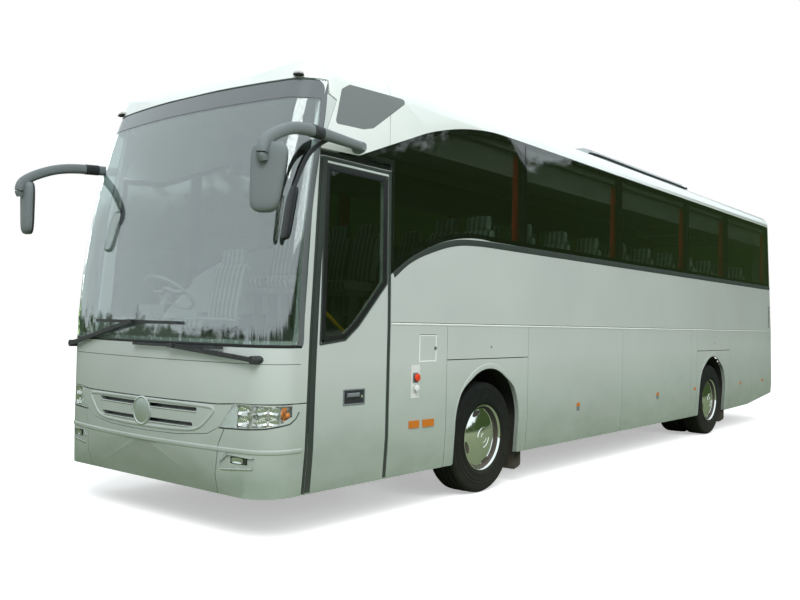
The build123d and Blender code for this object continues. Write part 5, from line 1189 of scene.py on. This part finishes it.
for side_name, side in SIDES.items():
    for label, (low, high, finish) in SIGNALS.items():
        piece(f"tail_lamp_{label}_{side_name}", patch(on_tail, side * np.linspace(1.035, 1.165, 12), low, high, 0.006,
                                                      -0.002, 8), finish)
    bars = [strip(on_tail, dense([(side * 1.028, z), (side * 1.172, z)]), 0.006, 0.005) for z in (0.952, 1.067, 1.197)]
    piece("tail_lamp_bars_" + side_name, join(*bars), FINISH["black_trim"])
    piece("tail_reflector_" + side_name, patch(on_tail, side * np.linspace(0.80, 0.95, 8), 0.560, 0.610, 0.005,
                                               -0.003, 4), FINISH["lamp_red"])
on_lid("rear_plate", 0.265, 0.735, 0.850, 0.009, 0.004, PLATE)
on_lid("rear_plate_holder", 0.265 * 1.06, 0.727, 0.858, 0.004, -0.002, FINISH["black_trim"])
on_lid("engine_lid_handle", 0.10, 1.180, 1.225, 0.010, -0.002, FINISH["black_trim"], 8, 6)
inset = np.array(WINDOW) * (0.972, 1) + [(0, 0.03), (0, 0.03), (0, -0.03), (0, -0.03), (0, 0.03)]
piece("rear_window_border", strip(on_tail, dense(inset), 0.030, 0.0015), GLOSS_BLACK)

# %% [markdown]
# ## Seats
# Each seat is a foam cushion and a foam backrest in striped cloth. Foam stands proud in the middle and is
# pulled in at the seams, so the section's size falls towards the ends and dips at each sewn channel.

# %% Seats
DRIVER = (-0.600, -1.560)
DRIVER_DROP = 0.420
FLOOR_Z = 1.471


def cushion(points, count, wide, high, power, channels, up):
    """A padded roll: rounded ends, a crowned middle and shallow channels across it."""
    t = np.linspace(-1, 1, count)
    end = np.clip((1 - np.abs(t) ** 6) ** 0.33, 0.05, 1)
    dip = 1 - 0.10 * np.abs(np.cos(np.pi * channels * (t + 1) / 2)) ** 12
    return swept(smooth_path(points, count), wide * end ** 0.35 * (0.985 + 0.015 * dip), high * end * dip, power, 28,
                 up)


def seat(x, aft, drop=0.0, half=0.185):
    """One place: cushion, backrest and headrest, as three surfaces."""
    def at(*points):
        return [(x, AXLE_Y + aft + a, z - drop) for a, z in points]
    return (cushion(at((-0.462, 1.912), (-0.22, 1.915), (0.000, 1.908)), 24, half, 0.062, 4, 3, (0, 0, 1)),
            cushion(at((-0.020, 1.945), (0.010, 2.12), (0.052, 2.32), (0.085, 2.47)), 30, half, 0.052, 4, 5,
                    (0, -1, 0.2)),
            cushion(at((0.078, 2.455), (0.092, 2.53), (0.100, 2.606)), 18, half * 0.72, 0.038, 3.4, 1, (0, -1, 0.2)))


def seat_frame(x, aft, drop=0.0):
    """The plate under a cushion and its two legs."""
    y = AXLE_Y + aft
    plate = box((x - 0.165, y - 0.40, 1.8 - drop), (x + 0.165, y - 0.08, 1.852 - drop))
    legs = [box((leg, y - 0.30, FLOOR_Z - drop), (leg + 0.04, y - 0.18, 1.80 - drop)) for leg in (x - 0.13, x + 0.09)]
    return join(plate, *legs)


places = [(side * x, -0.560 + row * 0.780) for side in (1, -1) for row in range(12) for x in (0.525, 0.915)
          if not (side > 0 and row == 0)]
rows = [seat(*place) for place in places] + [seat(*DRIVER, DRIVER_DROP, 0.225)]
for k, name in enumerate(("seat_cushions", "seat_backs", "seat_headrests")):
    pad = piece(name, join(*[row[k] for row in rows]), FINISH["seat_fabric"], slot="seat_fabric")
    if k == 0:
        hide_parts("seats")
frames = [seat_frame(*place) for place in places] + [seat_frame(*DRIVER, DRIVER_DROP)]
soften(piece("seat_frames", join(*frames), FINISH["interior"]), 0.006, 2)
print("places:", len(places) + 1)

# %% [markdown]
# ## Curtains
# Each curtain is one cloth gathered on its rail into even pleats beside a window pillar. The pleats are a wave
# whose depth grows a little towards the hem, and the cloth's flat width is the length along that wave.

# %% Curtains
PLEATS, PLEAT_DEEP = 7, 0.013
CURTAIN_X, CURTAIN_HALF = 1.178, 0.080
CURTAIN_LOW, CURTAIN_HIGH = 2.365, 3.222


def curtain(aft, side):
    """The pleated cloth, and how wide it was before it was gathered."""
    u = np.linspace(-1, 1, 150)[None, :]
    z = np.linspace(CURTAIN_HIGH, CURTAIN_LOW, 24)[:, None]
    fall = (CURTAIN_HIGH - z) / (CURTAIN_HIGH - CURTAIN_LOW)
    y = AXLE_Y + aft + CURTAIN_HALF * u * (1 - 0.06 * np.sin(np.pi * fall))
    wave = np.sin(np.pi * PLEATS * u + 0.4 * np.sin(3 * fall))
    x = CURTAIN_X + PLEAT_DEEP * (0.75 + 0.25 * fall) * wave - 0.004 * fall - lean_in(z)
    points = np.stack([side * x, y, z + 0 * u], -1)
    flat = np.linalg.norm(np.diff(points, axis=1), axis=2).sum(1).mean()
    return grid(points), float(flat)


for side_name, side in SIDES.items():
    for i, aft in enumerate((0.622, 2.847, 5.054, 6.709, 8.850)):
        surface, flat = curtain(aft, side)
        hung = piece(f"curtain_{side_name}_{i}", surface, FINISH["curtain"], closed=False, slot="curtain")
        if side > 0 and i == 0:
            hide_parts("curtains")

# %% [markdown]
# ## Inside the front
# The passenger's grab rails are yellow so that they are easy to see.

# %% Cabin details
RAIL = [(1.050, -2.20, 1.06), (1.050, -2.20, 1.40), (1.050, -2.17, 1.72), (1.050, -1.95, 1.60), (1.050, -1.60, 1.36)]
rail = smooth_path([(x, AXLE_Y + aft, z) for x, aft, z in RAIL], 60)
post = np.linspace((0.36, AXLE_Y - 1.33, 1.472), (0.36, AXLE_Y - 1.33, 2.35), 12)
for name, line in (("grab_rail_front", rail), ("grab_post", post)):
    piece(name, swept(line, 0.016, 0.016, 2, 16, up=(1, 0, 0)), YELLOW)

# %% Finish
bpy.context.view_layer.update()
